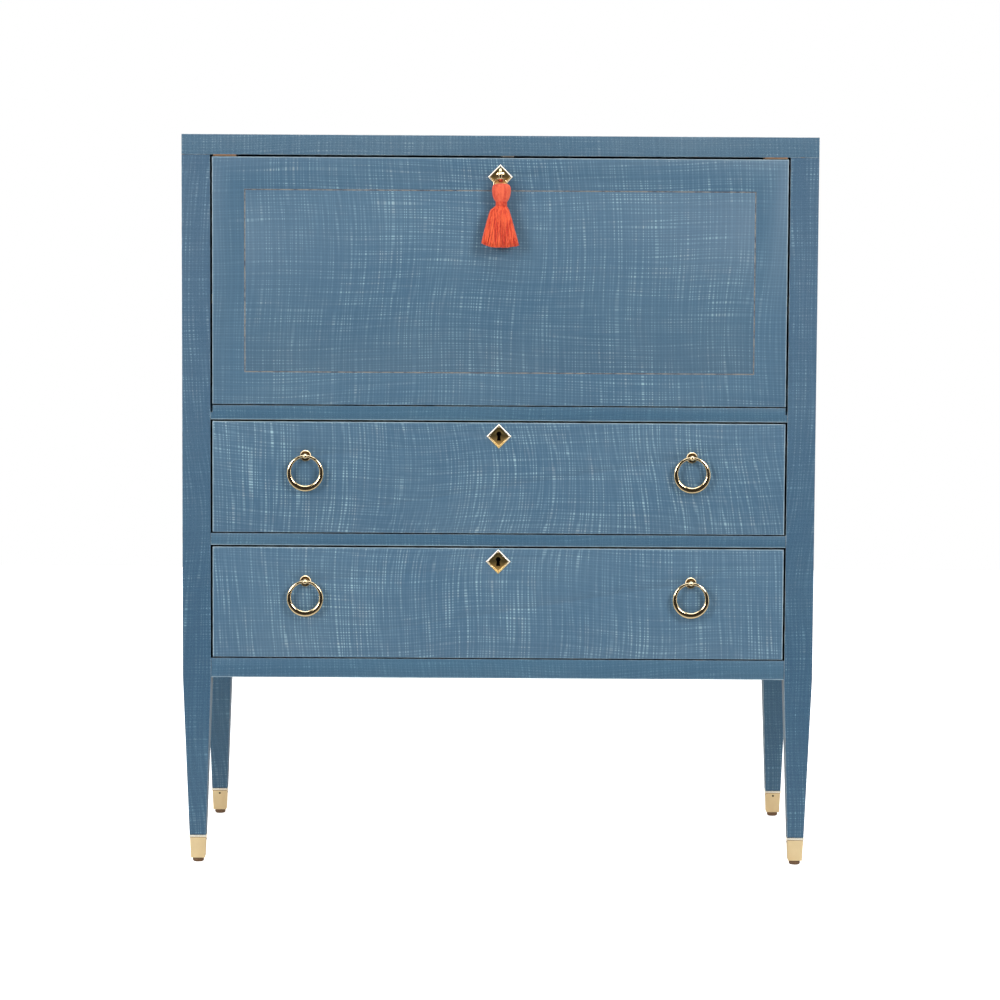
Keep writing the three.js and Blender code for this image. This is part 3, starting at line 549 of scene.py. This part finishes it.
def tube(bm, points, radii, sides=6, closed=False):
    """A round thread through points; radii is one radius or one for each point."""
    points = [Vector(p) for p in points]
    count = len(points)
    if not isinstance(radii, (list, tuple)):
        radii = [radii] * count
    rings = []
    side = None
    for i, here in enumerate(points):
        ahead = points[(i + 1) % count] if closed or i < count - 1 else here
        behind = points[i - 1] if closed or i > 0 else here
        along = (ahead - behind).normalized()
        if side is None:
            side = along.orthogonal().normalized()
        side = (side - along * side.dot(along)).normalized()
        over = along.cross(side)
        ring = []
        for step in range(sides):
            angle = math.tau * step / sides
            ring.append(bm.verts.new(here + (side * math.cos(angle) + over * math.sin(angle)) * radii[i]))
        rings.append(ring)
    pairs = list(zip(rings, rings[1:]))
    if closed:
        pairs.append((rings[-1], rings[0]))
    for low, high in pairs:
        for step in range(sides):
            after = (step + 1) % sides
            bm.faces.new((low[step], low[after], high[after], high[step]))
    if not closed:
        bm.faces.new(list(reversed(rings[0])))
        bm.faces.new(rings[-1])


def shade_by_angle(degrees):
    """A node group that shades a mesh smooth except at edges sharper than an angle."""
    tree = bpy.data.node_groups.new(f"smooth_by_{degrees}", "GeometryNodeTree")
    tree.interface.new_socket("Geometry", in_out="INPUT", socket_type="NodeSocketGeometry")
    tree.interface.new_socket("Geometry", in_out="OUTPUT", socket_type="NodeSocketGeometry")
    make = tree.nodes.new
    start, end = make("NodeGroupInput"), make("NodeGroupOutput")
    angle, sharp = make("GeometryNodeInputMeshEdgeAngle"), make("FunctionNodeCompare")
    edges, faces = make("GeometryNodeSetShadeSmooth"), make("GeometryNodeSetShadeSmooth")
    sharp.operation = "GREATER_THAN"
    sharp.inputs["B"].default_value = math.radians(degrees)
    edges.domain = "EDGE"
    edges.inputs["Shade Smooth"].default_value = False
    link = tree.links.new
    link(start.outputs[0], faces.inputs["Geometry"])
    link(faces.outputs[0], edges.inputs["Geometry"])
    link(angle.outputs["Unsigned Angle"], sharp.inputs["A"])
    link(sharp.outputs[0], edges.inputs["Selection"])
    link(edges.outputs[0], end.inputs[0])
    return tree


CRISP = shade_by_angle(32)
SHAPED = shade_by_angle(50)  # for the key, whose curves meet at softer corners
ROUNDED = shade_by_angle(75)  # for rings of few sides, which have no true corners
FRONT_BEVEL = 0.15 * MM


def dress(node, material, bevel=0.0, edge=None, smoothing=CRISP):
    """Gives a CAD node its material, softened edges and smooth shading."""
    piece = nodes[node]
    piece.data.materials.clear()
    piece.data.materials.append(material)
    weld = piece.modifiers.new("weld", "WELD")
    weld.merge_threshold = 0.001 * MM
    if bevel:
        softened = piece.modifiers.new("softened_edges", "BEVEL")
        softened.width = bevel
        softened.segments = 2
        softened.limit_method = "ANGLE"
        softened.angle_limit = math.radians(40)
        softened.use_clamp_overlap = True
        if edge:
            piece.data.materials.append(edge)
            softened.material = 1
    piece.modifiers.new("smooth_by_angle", "NODES").node_group = smoothing


# ------------------------------------------------------------------ CAD nodes
def dress_fronts():
    """The flap, the drawer fronts and the rails, each rubbed round its own edges, with painted gap shade."""
    flap_paint = linen_paint("paint_flap", upright=0.4, level=0.5, crossing=0.5, tint=(1.06, 1.16, 1.21),
                             rim=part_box("flap_panel"), plain_ends=120 * MM)
    dress("flap_panel", flap_paint, bevel=FRONT_BEVEL, edge=edge_paint)
    for node in (f"{drawer}_front" for drawer in DRAWERS):
        paint = linen_paint(f"paint_{node}", upright=0.75, level=0.42, crossing=0.45, wander=110 * MM,
                            tint=(1.02, 1.12, 1.18), seed=5.0, rim=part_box(node))
        dress(node, paint, bevel=FRONT_BEVEL, edge=edge_paint)
    for node in ("desk_rail", "middle_rail", "apron_rail"):
        paint = linen_paint(f"paint_{node}", upright=0.12, level=0.12, crossing=0.3, fleck=1.2,
                            tint=(0.76, 0.98, 1.05), foot_tint=(0.67, 0.9, 1.0), seed=23.0,
                            rim=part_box(node), joined_ends=True)
        dress(node, paint, bevel=FRONT_BEVEL, edge=edge_paint)


def dress_painted():
    dress_fronts()
    for node in ("left_side_panel", "right_side_panel", "back_panel"):
        dress(node, side_paint, bevel=0.7 * MM, edge=edge_paint)
    for row in ROWS:
        for hand, _ in SIDES:
            dress(f"{row}_{hand}_leg", post_paint, bevel=0.3 * MM, edge=edge_paint)
    hinge_paint = linen_paint("paint_hinges", upright=0.1, level=0.1, tint=(0.9, 1.1, 1.2), seed=41.0)
    for hand, _ in SIDES:
        dress(f"{hand}_pivot_hinge", hinge_paint, bevel=0.25 * MM)
    dress("top_slab", top_paint, bevel=0.25 * MM, edge=edge_paint)


def dress_wood():
    board_wood = bare_wood("wood_boards")
    box_wood = bare_wood("wood_drawers", seed=4.0)
    rack_wood = bare_wood("wood_rack", pale=linear(214, 184, 142), dark=linear(182, 142, 98), seed=9.0)
    # very pale wood: painted light, so the stop blocks read lit inside the shaded gap over the flap
    stop_wood_painted_lit = bare_wood("wood_stops_painted_lit", pale=linear(250, 220, 178), dark=linear(232, 194, 146), seed=2.0)
    for node in ("desk_floor", "middle_shelf", "bottom_board"):
        dress(node, board_wood, bevel=0.4 * MM)
    for drawer in DRAWERS:
        dress(f"{drawer}_bottom", board_wood, bevel=0.4 * MM)
        dress(f"{drawer}_box", box_wood, bevel=0.6 * MM)
    for hand, _ in SIDES:
        dress(f"{hand}_stop_block", stop_wood_painted_lit, bevel=0.1 * MM)
    dress("pigeonhole_rack", rack_wood, bevel=0.7 * MM)
    dress("inner_drawer_tray", board_wood, bevel=0.6 * MM)


def dress_metal():
    bright = polished_brass("brass_polished")
    satin = sabot_brass("brass_sabots", SABOT_TOP - 3.2 * MM)
    worked = polished_brass("brass_lock", tone=linear(222, 188, 128), roughness=0.28, smear=0.2,
                            scratch=0.3)
    # lock cases in black iron; their black also stands in for the shade inside the keyholes
    iron = blackened_iron("iron_locks_and_keyhole_shade")
    for row in ROWS:
        for hand, _ in SIDES:
            dress(f"{row}_{hand}_sabot", satin, bevel=0.5 * MM)
            dress(f"{row}_{hand}_glide", moulded_plastic(f"plastic_{row}_{hand}"), bevel=0.3 * MM)
    for drawer in DRAWERS:
        dress(f"{drawer}_lock_case", iron, bevel=0.3 * MM)
        dress(f"{drawer}_bolt", worked, bevel=0.3 * MM)
        for hand, _ in SIDES:
            stud = f"{drawer}_{hand}_pull_stud"
            dress(stud, stud_brass(f"brass_{stud}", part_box(stud)))
            dress(f"{drawer}_{hand}_pull_ring", bright, smoothing=ROUNDED)
    dress("flap_key", bright, smoothing=SHAPED)
    dress("flap_lock_case", iron, bevel=0.3 * MM)
    dress("key_ring", bright, smoothing=ROUNDED)
    dress("flap_bolt", worked, bevel=0.3 * MM)
    for front in FRONTS:
        node = f"{front}_escutcheon"
        dress(node, escutcheon_brass(f"brass_{node}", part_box(node)), bevel=0.15 * MM)
    for hand, _ in SIDES:
        for node in (f"{hand}_quadrant_stay", f"{hand}_stay_keeper"):
            dress(node, worked, bevel=0.25 * MM)
    dress("strike_plate", plain_steel("steel_strike"), bevel=0.1 * MM)


dress_painted()
dress_wood()
dress_metal()
dress("tassel", spun_thread("thread_core"), smoothing=ROUNDED)


# ------------------------------------------------------------------ tassel
thread = spun_thread("thread")
head_thread = spun_thread("thread_head", pale=linear(232, 104, 70), deep=linear(202, 66, 46))
binding_thread = spun_thread("thread_binding", pale=linear(226, 92, 60), deep=linear(190, 50, 34))
loop_thread = spun_thread("thread_loop", pale=linear(190, 44, 34), deep=linear(130, 22, 20), sheen=0.1)

TASSEL_X = 1.7 * MM  # the tassel hangs a little to the right of the key
TASSEL_Y = RING.y
RING_BOTTOM = RING.z - RING_RADIUS
HEAD_TOP = RING_BOTTOM + 13 * MM
NECK_TOP = RING_BOTTOM - 15 * MM
NECK_LOW = RING_BOTTOM - 21.5 * MM
HEM = TASSEL_LOW.z + 0.4 * MM
HEM_HALF_WIDTH = (TASSEL_HIGH.x - TASSEL_LOW.x) / 2 - 1.0 * MM
HEM_HALF_DEPTH = TASSEL_Y - TASSEL_LOW.y - 1.2 * MM
SHOULDER = NECK_LOW + 1.5 * MM  # where the skirt starts, under the last turns of the binding


def tassel_head(bm):
    """The folded threads over the ring, bulging out between the fold and the neck."""
    height = HEAD_TOP - NECK_TOP
    rows, around = 22, 88
    outline = ((0.0, 0.57), (0.06, 0.66), (0.15, 0.78), (0.25, 0.87), (0.35, 0.93), (0.5, 0.98), (0.68, 1.0),
               (0.82, 0.96), (0.91, 0.86), (0.97, 0.7), (1.0, 0.48))
    half_width, half_depth = 14.2 * MM, 10.5 * MM

    def fullness(level):
        for (low, first), (high, second) in zip(outline, outline[1:]):
            if level <= high:
                blend = (level - low) / (high - low)
                return first + (second - first) * blend
        return outline[-1][1]

    rings = []
    for row in range(rows + 1):
        level = row / rows
        ring = []
        for step in range(around):
            angle = math.tau * step / around
            ridge = 1 + 0.014 * math.sin(22 * angle + 0.8 * math.sin(5 * level)) + 0.01 * math.sin(44 * angle)
            full = fullness(level) * ridge
            squared = math.copysign(abs(math.cos(angle)) ** 0.86, math.cos(angle))
            x = half_width * full * squared
            y = half_depth * full * math.sin(angle)
            ring.append(bm.verts.new((TASSEL_X + x, TASSEL_Y + y, NECK_TOP + level * height)))
        rings.append(ring)
    for low, high in zip(rings, rings[1:]):
        for step in range(around):
            after = (step + 1) % around
            bm.faces.new((low[step], low[after], high[after], high[step]))
    bm.faces.new(list(reversed(rings[0])))
    top = bm.verts.new((TASSEL_X, TASSEL_Y, HEAD_TOP + 0.9 * MM))
    for step in range(around):
        bm.faces.new((rings[-1][step], rings[-1][(step + 1) % around], top))


def tassel_neck(bm):
    """Turns of thread wound round the neck."""
    turns, per_turn = 7, 40
    half_width, half_depth = 8.0 * MM, 6.6 * MM
    points = []
    for step in range(turns * per_turn + 1):
        angle = math.tau * step / per_turn
        level = step / (turns * per_turn)
        height = NECK_LOW + 0.6 * MM + level * (NECK_TOP - NECK_LOW - 0.4 * MM)
        swell = 1 + 0.05 * math.sin(math.pi * level)
        points.append((TASSEL_X + half_width * swell * math.cos(angle),
                       TASSEL_Y + half_depth * swell * math.sin(angle), height))
    tube(bm, points, 0.55 * MM, sides=8)


def skirt_point(angle, spread, level):
    """A point on the skirt.

    angle goes round it, spread from its middle to its outside, and level from the neck down to the hem.
    """
    neck_half_width, neck_half_depth = 7.6 * MM, 6.2 * MM
    right = (1 + math.cos(angle)) / 2  # 1 on the right, 0 on the left, where the skirt is fuller
    flare = level ** (0.7 + 0.25 * right)
    shoulder = min(1, level / 0.06) ** 0.5
    top_half_width = neck_half_width + (5.4 - 3.6 * right) * MM * shoulder
    half_width = top_half_width + (HEM_HALF_WIDTH - top_half_width) * flare
    half_depth = neck_half_depth + (HEM_HALF_DEPTH - neck_half_depth) * flare ** 0.7
    return Vector((TASSEL_X * (1 - level) + half_width * spread * math.cos(angle),
                   TASSEL_Y + half_depth * spread * math.sin(angle),
                   SHOULDER + (HEM - SHOULDER) * level))


def tassel_skirt(bm):
    """Cut threads, in a few layers, each a little out of line with its neighbours."""
    layers = ((1.0, 150), (0.88, 110), (0.7, 70), (0.45, 40))  # how far out, and how many threads
    joints = 8
    for spread, count in layers:
        for i in range(count):
            angle = math.tau * (i + random.uniform(-0.35, 0.35)) / count
            cut = random.uniform(-0.018, 0.0)
            lean = random.gauss(0, 0.035)
            bow = random.gauss(0, 0.012)
            reach = spread * random.uniform(0.965, 1.0)
            edge_lift = (0.1 if math.cos(angle) < 0 else 0.05) * abs(math.cos(angle)) ** 3 * spread
            points = []
            for step in range(joints + 1):
                level = step / joints
                swing = lean * level + bow * math.sin(math.pi * level)
                points.append(skirt_point(angle + swing, reach, level * (1 + cut - edge_lift)))
            thickness = 0.62 * MM * random.uniform(0.85, 1.1)
            radii = [thickness * (0.8 + 0.35 * step / joints) for step in range(joints + 1)]
            tube(bm, points, radii, sides=5)


def tassel_loop(bm):
    """The short loop of darker thread that closes the fold at the top of the ring."""
    middle = Vector((TASSEL_X * 0.4, TASSEL_Y, RING.z + RING_RADIUS - 2.4 * MM))
    steps = 24
    points = []
    for step in range(steps):
        angle = math.tau * step / steps
        twist = 2.6 * MM * math.cos(angle) * math.sin(angle)
        points.append(middle + Vector((2.2 * MM * math.cos(angle), 1.5 * MM * math.sin(angle),
                                       twist - 1.2 * MM)))
    tube(bm, points, 0.9 * MM, sides=8, closed=True)


def build_tassel():
    new_piece("tassel_head", tassel_head, head_thread, "tassel")
    new_piece("tassel_neck_binding", tassel_neck, binding_thread, "tassel")
    skirt = new_piece("tassel_skirt", tassel_skirt, thread, "tassel")
    new_piece("tassel_loop", tassel_loop, loop_thread, "key_ring")
    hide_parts("tassel")


build_tassel()


# ------------------------------------------------------------------ pins, nails and screws
def pin_head(radius, height):
    """A domed head on a short shank that is sunk in the surface."""
    def build(bm, matrix):
        steps = 6
        profile = [(0, -height)]
        for step in range(steps + 1):
            angle = math.pi / 2 * step / steps
            profile.append((radius * math.cos(angle) if step < steps else 0, height * math.sin(angle)))
        lathe(bm, profile, matrix, segments=20)

    return build


def slotted_screw(radius, height):
    """A screw head with a slot sawn across it: two raised half discs with the slot between them."""
    def build(bm, matrix):
        slot_half = radius * 0.16
        chamfer = 0.94
        steps = 14
        first = math.asin(slot_half / radius)
        arc = [first + (math.pi - 2 * first) * step / steps for step in range(steps + 1)]
        for side in (1, -1):
            rim = [Vector((radius * math.cos(angle), side * radius * math.sin(angle), 0)) for angle in arc]
            upper = [bm.verts.new(matrix @ (point * chamfer + Vector((0, 0, height)))) for point in rim]
            lower = [bm.verts.new(matrix @ (point - Vector((0, 0, height * 0.2)))) for point in rim]
            bm.faces.new(upper)
            bm.faces.new(list(reversed(lower)))
            for i in range(len(rim)):
                after = (i + 1) % len(rim)
                bm.faces.new((lower[i], lower[after], upper[after], upper[i]))

    return build


def fasteners(name, build, places, material, body):
    """One piece that holds a set of like pins or screws; places are (position, outwards direction)."""
    def make(bm):
        for position, outwards in places:
            build(bm, frame_at(Vector(position), outwards))

    new_piece(name, make, material, body)


def escutcheon_pins():
    """A pin near the top and the bottom corner of each escutcheon, in its sunken field."""
    brass = polished_brass("brass_pins", roughness=0.22)
    inset, sunk = 5 * MM, 1.15 * MM
    for front in FRONTS:
        low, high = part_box(f"{front}_escutcheon")
        places = [((0, low.y + sunk, z), (0, -1, 0)) for z in (low.z + inset, high.z - inset)]
        fasteners(f"{front}_escutcheon_pins", pin_head(0.9 * MM, 0.5 * MM), places, brass, front)


def sabot_nails():
    """A small nail near the rim of each sabot, in the faces that turn inwards and forwards."""
    dark = blackened_iron("iron_nails")
    nail = pin_head(1.6 * MM, 0.5 * MM)
    from_rim = 8 * MM
    inner_slope, front_slope = 0.9 * MM, 1.0 * MM  # how far a face has sloped in at that height
    for row in ROWS:
        for hand, side in SIDES:
            low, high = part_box(f"{row}_{hand}_sabot")
            middle = (low + high) / 2
            z = high.z - from_rim
            inner_x = low.x + inner_slope if side > 0 else high.x - inner_slope
            places = [((inner_x, middle.y, z), (-side, 0, 0))]
            if row == "rear":
                places.append(((middle.x, low.y + front_slope, z), (0, -1, 0)))
            fasteners(f"{row}_{hand}_sabot_nails", nail, places, dark, "carcass")


def lock_screws():
    """A screw in each corner of a lock case, on the inside."""
    brass = polished_brass("brass_screws", tone=linear(196, 160, 104), roughness=0.3)
    screw = slotted_screw(2.6 * MM, 0.35 * MM)
    inset = 6 * MM
    for front in FRONTS:
        low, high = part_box(f"{front}_lock_case")
        places = []
        for x in (low.x + inset, high.x - inset):
            for z in (low.z + inset, high.z - inset):
                places.append(((x, high.y, z), (0, 1, 0)))
        fasteners(f"{front}_lock_screws", screw, places, brass, front)


def drawer_nuts():
    """A washer and hexagonal nut on each pull's rod, inside the drawer."""
    brass = polished_brass("brass_nuts", roughness=0.3)
    washer = in_mm((0, 0.05), (6, 0.05), (6, 0.9), (0, 0.9))
    nut = in_mm((0, 0.95), (3.9, 0.95), (4.1, 1.3), (4.1, 3.3), (3.8, 3.7), (0, 3.7))
    for drawer in DRAWERS:
        inner_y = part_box(f"{drawer}_front")[1].y

        def make(bm, drawer=drawer, inner_y=inner_y):
            for hand, _ in SIDES:
                middle = centre(f"{drawer}_{hand}_pull_stud")
                matrix = frame_at(Vector((middle.x, inner_y, middle.z)), (0, 1, 0))
                lathe(bm, washer, matrix)
                lathe(bm, nut, matrix, segments=6)

        new_piece(f"{drawer}_pull_nuts", make, brass, drawer, smooth=False)


def inner_knob():
    """The little turned knob of the drawer in the pigeonhole rack."""
    low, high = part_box("inner_drawer_tray")
    place = frame_at(Vector(((low.x + high.x) / 2, low.y, (low.z + high.z) / 2)), (0, -1, 0))
    profile = in_mm((0, -2), (3, -2), (3, 0), (7, 0.1), (7, 0.8), (3.2, 1.6), (2.6, 5), (4, 7.5), (6.2, 9.5),
                    (6.8, 11.6), (6, 13.6), (3.6, 14.8), (0, 15.2))
    new_piece("inner_drawer_knob", lambda bm: lathe(bm, profile, place, segments=40),
              polished_brass("brass_knob"), "inner_drawer")


def flap_line():
    """The tan line scored round the flap: a thin strip of bare wood at the bottom of its groove."""
    low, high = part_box("flap_panel")
    inset, width, depth, play = 48.5 * MM, 1.8 * MM, 1.0 * MM, 0.06 * MM

    def corners(bm, shift, y):
        left, right = low.x + inset + shift, high.x - inset - shift
        foot, top = low.z + inset + shift, high.z - inset - shift
        return [bm.verts.new((x, y, z)) for x, z in ((left, foot), (right, foot), (right, top), (left, top))]

    def make(bm):
        outer_front, outer_back, inner_front, inner_back = (
            corners(bm, shift, FRONT_Y + depth * part)
            for shift in (play, width - play) for part in (0.62, 0.98))
        for first, second in ((outer_front, inner_front), (inner_front, inner_back), (inner_back, outer_back),
                              (outer_back, outer_front)):
            for i in range(4):
                after = (i + 1) % 4
                bm.faces.new((first[i], first[after], second[after], second[i]))

    shader = Shader("scored_line_wood", roughness=0.75)
    wear = shader.noise(shader.object_point, scale=70, detail=5, roughness=0.7)
    shader.colour(shader.mix(shader.step(wear, 0.38, 0.6), linear(84, 88, 100), linear(142, 138, 132)))
    shader.bump(wear, 0.2 * MM, 0.5)
    new_piece("flap_scored_line", make, shader.material, "flap", smooth=False)


def slips_over_flap():
    """What shows in the gap over the flap: a slip of bare wood at each end and the strike's steel lip."""
    flap_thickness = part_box("flap_panel")[1].y - FRONT_Y
    set_back, slip_height, lip_height, lip_depth = MM, 2.1 * MM, 2.2 * MM, 3.4 * MM
    lip_ends = (4 * MM, 20 * MM)
    wood = bare_wood("wood_slips", pale=linear(170, 130, 100), dark=linear(146, 108, 80), seed=12.0)
    steel = plain_steel("steel_lip")

    def slip(name, ends, height, depth, material):
        low = Vector((ends[0], FRONT_Y + set_back, SLAB_UNDERSIDE - height))
        high = Vector((ends[1], FRONT_Y + depth, SLAB_UNDERSIDE))
        place = Matrix.Translation((low + high) / 2) @ Matrix.Diagonal((*(high - low), 1))

        def make(bm):
            bmesh.ops.create_cube(bm, size=1.0, matrix=place)
            bmesh.ops.bevel(bm, geom=bm.edges[:], offset=0.3 * MM, segments=2, profile=0.5, affect="EDGES")

        new_piece(name, make, material, "carcass", smooth=False)

    for hand, _ in SIDES:
        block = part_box(f"{hand}_stop_block")
        slip(f"{hand}_stop_slip", (block[0].x, block[1].x), slip_height, flap_thickness, wood)
    slip("strike_lip", lip_ends, lip_height, lip_depth, steel)


slips_over_flap()
escutcheon_pins()
sabot_nails()
lock_screws()
drawer_nuts()
inner_knob()
flap_line()


# ------------------------------------------------------------------ stage, light and camera
def pale_floor():
    """A plain white floor. Shiny parts see it darker than the eye does, as a floor lit only near the desk."""
    corners = [(-2.4, -1.6), (2.4, -1.6), (2.4, 4.0), (-2.4, 4.0)]
    bm = bmesh.new()
    bm.faces.new([bm.verts.new((x, y, 0)) for x, y in corners])
    mesh = bpy.data.meshes.new("floor")
    bm.to_mesh(mesh)
    bm.free()
    shader = Shader("floor_pale", roughness=0.8, specular=0.0)
    haze = shader.noise(shader.object_point, scale=2, detail=2)
    path = shader.add("ShaderNodeLightPath").outputs
    shiny = path["Is Glossy Ray"]
    white = shader.mix(haze, (0.88, 0.88, 0.88), (0.92, 0.92, 0.92))
    near = shader.step(shader.split(shader.object_point)[1], -0.85, -0.5)
    shader.colour(shader.mix(shiny, white, shader.mix(near, (0.05, 0.045, 0.04), (0.76, 0.73, 0.67))))
    glow = shader.either(shiny, shader.between(path["Is Camera Ray"], 0.35, 0.8), 0.0)
    shader.surface.inputs["Emission Color"].default_value = (1, 1, 1, 1)
    shader.feed(shader.surface.inputs["Emission Strength"], glow)
    mesh.materials.append(shader.material)
    floor = bpy.data.objects.new("floor", mesh)
    bpy.context.scene.collection.objects.link(floor)


def area_light(name, position, target, size, power, colour=(1, 1, 1)):
    light = bpy.data.lights.new(name, "AREA")
    light.shape = "RECTANGLE"
    light.size, light.size_y = size
    light.energy = power
    light.color = colour
    lamp = bpy.data.objects.new(name, light)
    lamp.matrix_world = frame_at(Vector(position), Vector(position) - Vector(target))
    bpy.context.scene.collection.objects.link(lamp)


def studio_world():
    """White to the camera; to the object, a bright room with a darker end behind the camera."""
    world = bpy.data.worlds.new("studio")
    world.use_nodes = True
    tree = world.node_tree
    make, link = tree.nodes.new, tree.links.new

    def fade(value, start, finish):
        node = make("ShaderNodeMapRange")
        node.interpolation_type = "SMOOTHSTEP"
        node.inputs["From Min"].default_value = start
        node.inputs["From Max"].default_value = finish
        link(value, node.inputs["Value"])
        return node.outputs[0]

    def choose(factor, first, second):
        node = make("ShaderNodeMix")
        node.data_type = "RGBA"
        link(factor, node.inputs["Factor"])
        for name, colour in (("A", first), ("B", second)):
            if isinstance(colour, tuple):
                node.inputs[name].default_value = (*colour, 1)
            else:
                link(colour, node.inputs[name])
        return node.outputs["Result"]

    parts = make("ShaderNodeSeparateXYZ")
    link(make("ShaderNodeTexCoord").outputs["Generated"], parts.inputs[0])
    path = make("ShaderNodeLightPath").outputs
    dark_end = make("ShaderNodeMath")
    dark_end.operation = "MULTIPLY"
    link(fade(parts.outputs["Y"], -0.15, -0.45), dark_end.inputs[0])
    link(fade(parts.outputs["Z"], 0.92, 0.8), dark_end.inputs[1])
    walls = choose(path["Is Glossy Ray"], (0.85, 0.85, 0.85), (1.8, 1.8, 1.8))
    room = choose(dark_end.outputs[0], walls, (0.03, 0.027, 0.024))
    seen = choose(path["Is Camera Ray"], room, (1.0, 1.0, 1.0))
    link(seen, tree.nodes["Background"].inputs["Color"])
    bpy.context.scene.world = world


def photographers_camera():
    """Level with the upper part of the desk, far back, and tipped a little down."""
    data = bpy.data.cameras.new("camera")
    data.sensor_width = 36
    data.lens = 119.92
    data.clip_end = 100
    yaw, pitch, roll = (math.radians(a) for a in (0.129, 5.041, 0.331))
    aim = Matrix.Rotation(-yaw, 4, "Z")
    aim = aim @ Matrix.Rotation(math.pi / 2 - pitch, 4, "X")
    aim = aim @ Matrix.Rotation(roll, 4, "Z")
    camera = bpy.data.objects.new("camera", data)
    camera.matrix_world = Matrix.Translation((-0.0092, -5.2772, 1.0114)) @ aim
    bpy.context.scene.collection.objects.link(camera)
    bpy.context.scene.camera = camera


pale_floor()
studio_world()
area_light("key", (2.7, -3.4, 2.5), (0, 0, 0.7), (1.4, 1.8), 114)
area_light("fill", (-3.0, -3.2, 2.0), (0, 0, 0.6), (1.6, 2.0), 104)
area_light("overhead", (0, -0.4, 3.6), (0, 0, 0), (3.0, 3.0), 50)
photographers_camera()
bpy.context.scene.view_settings.view_transform = "Standard"
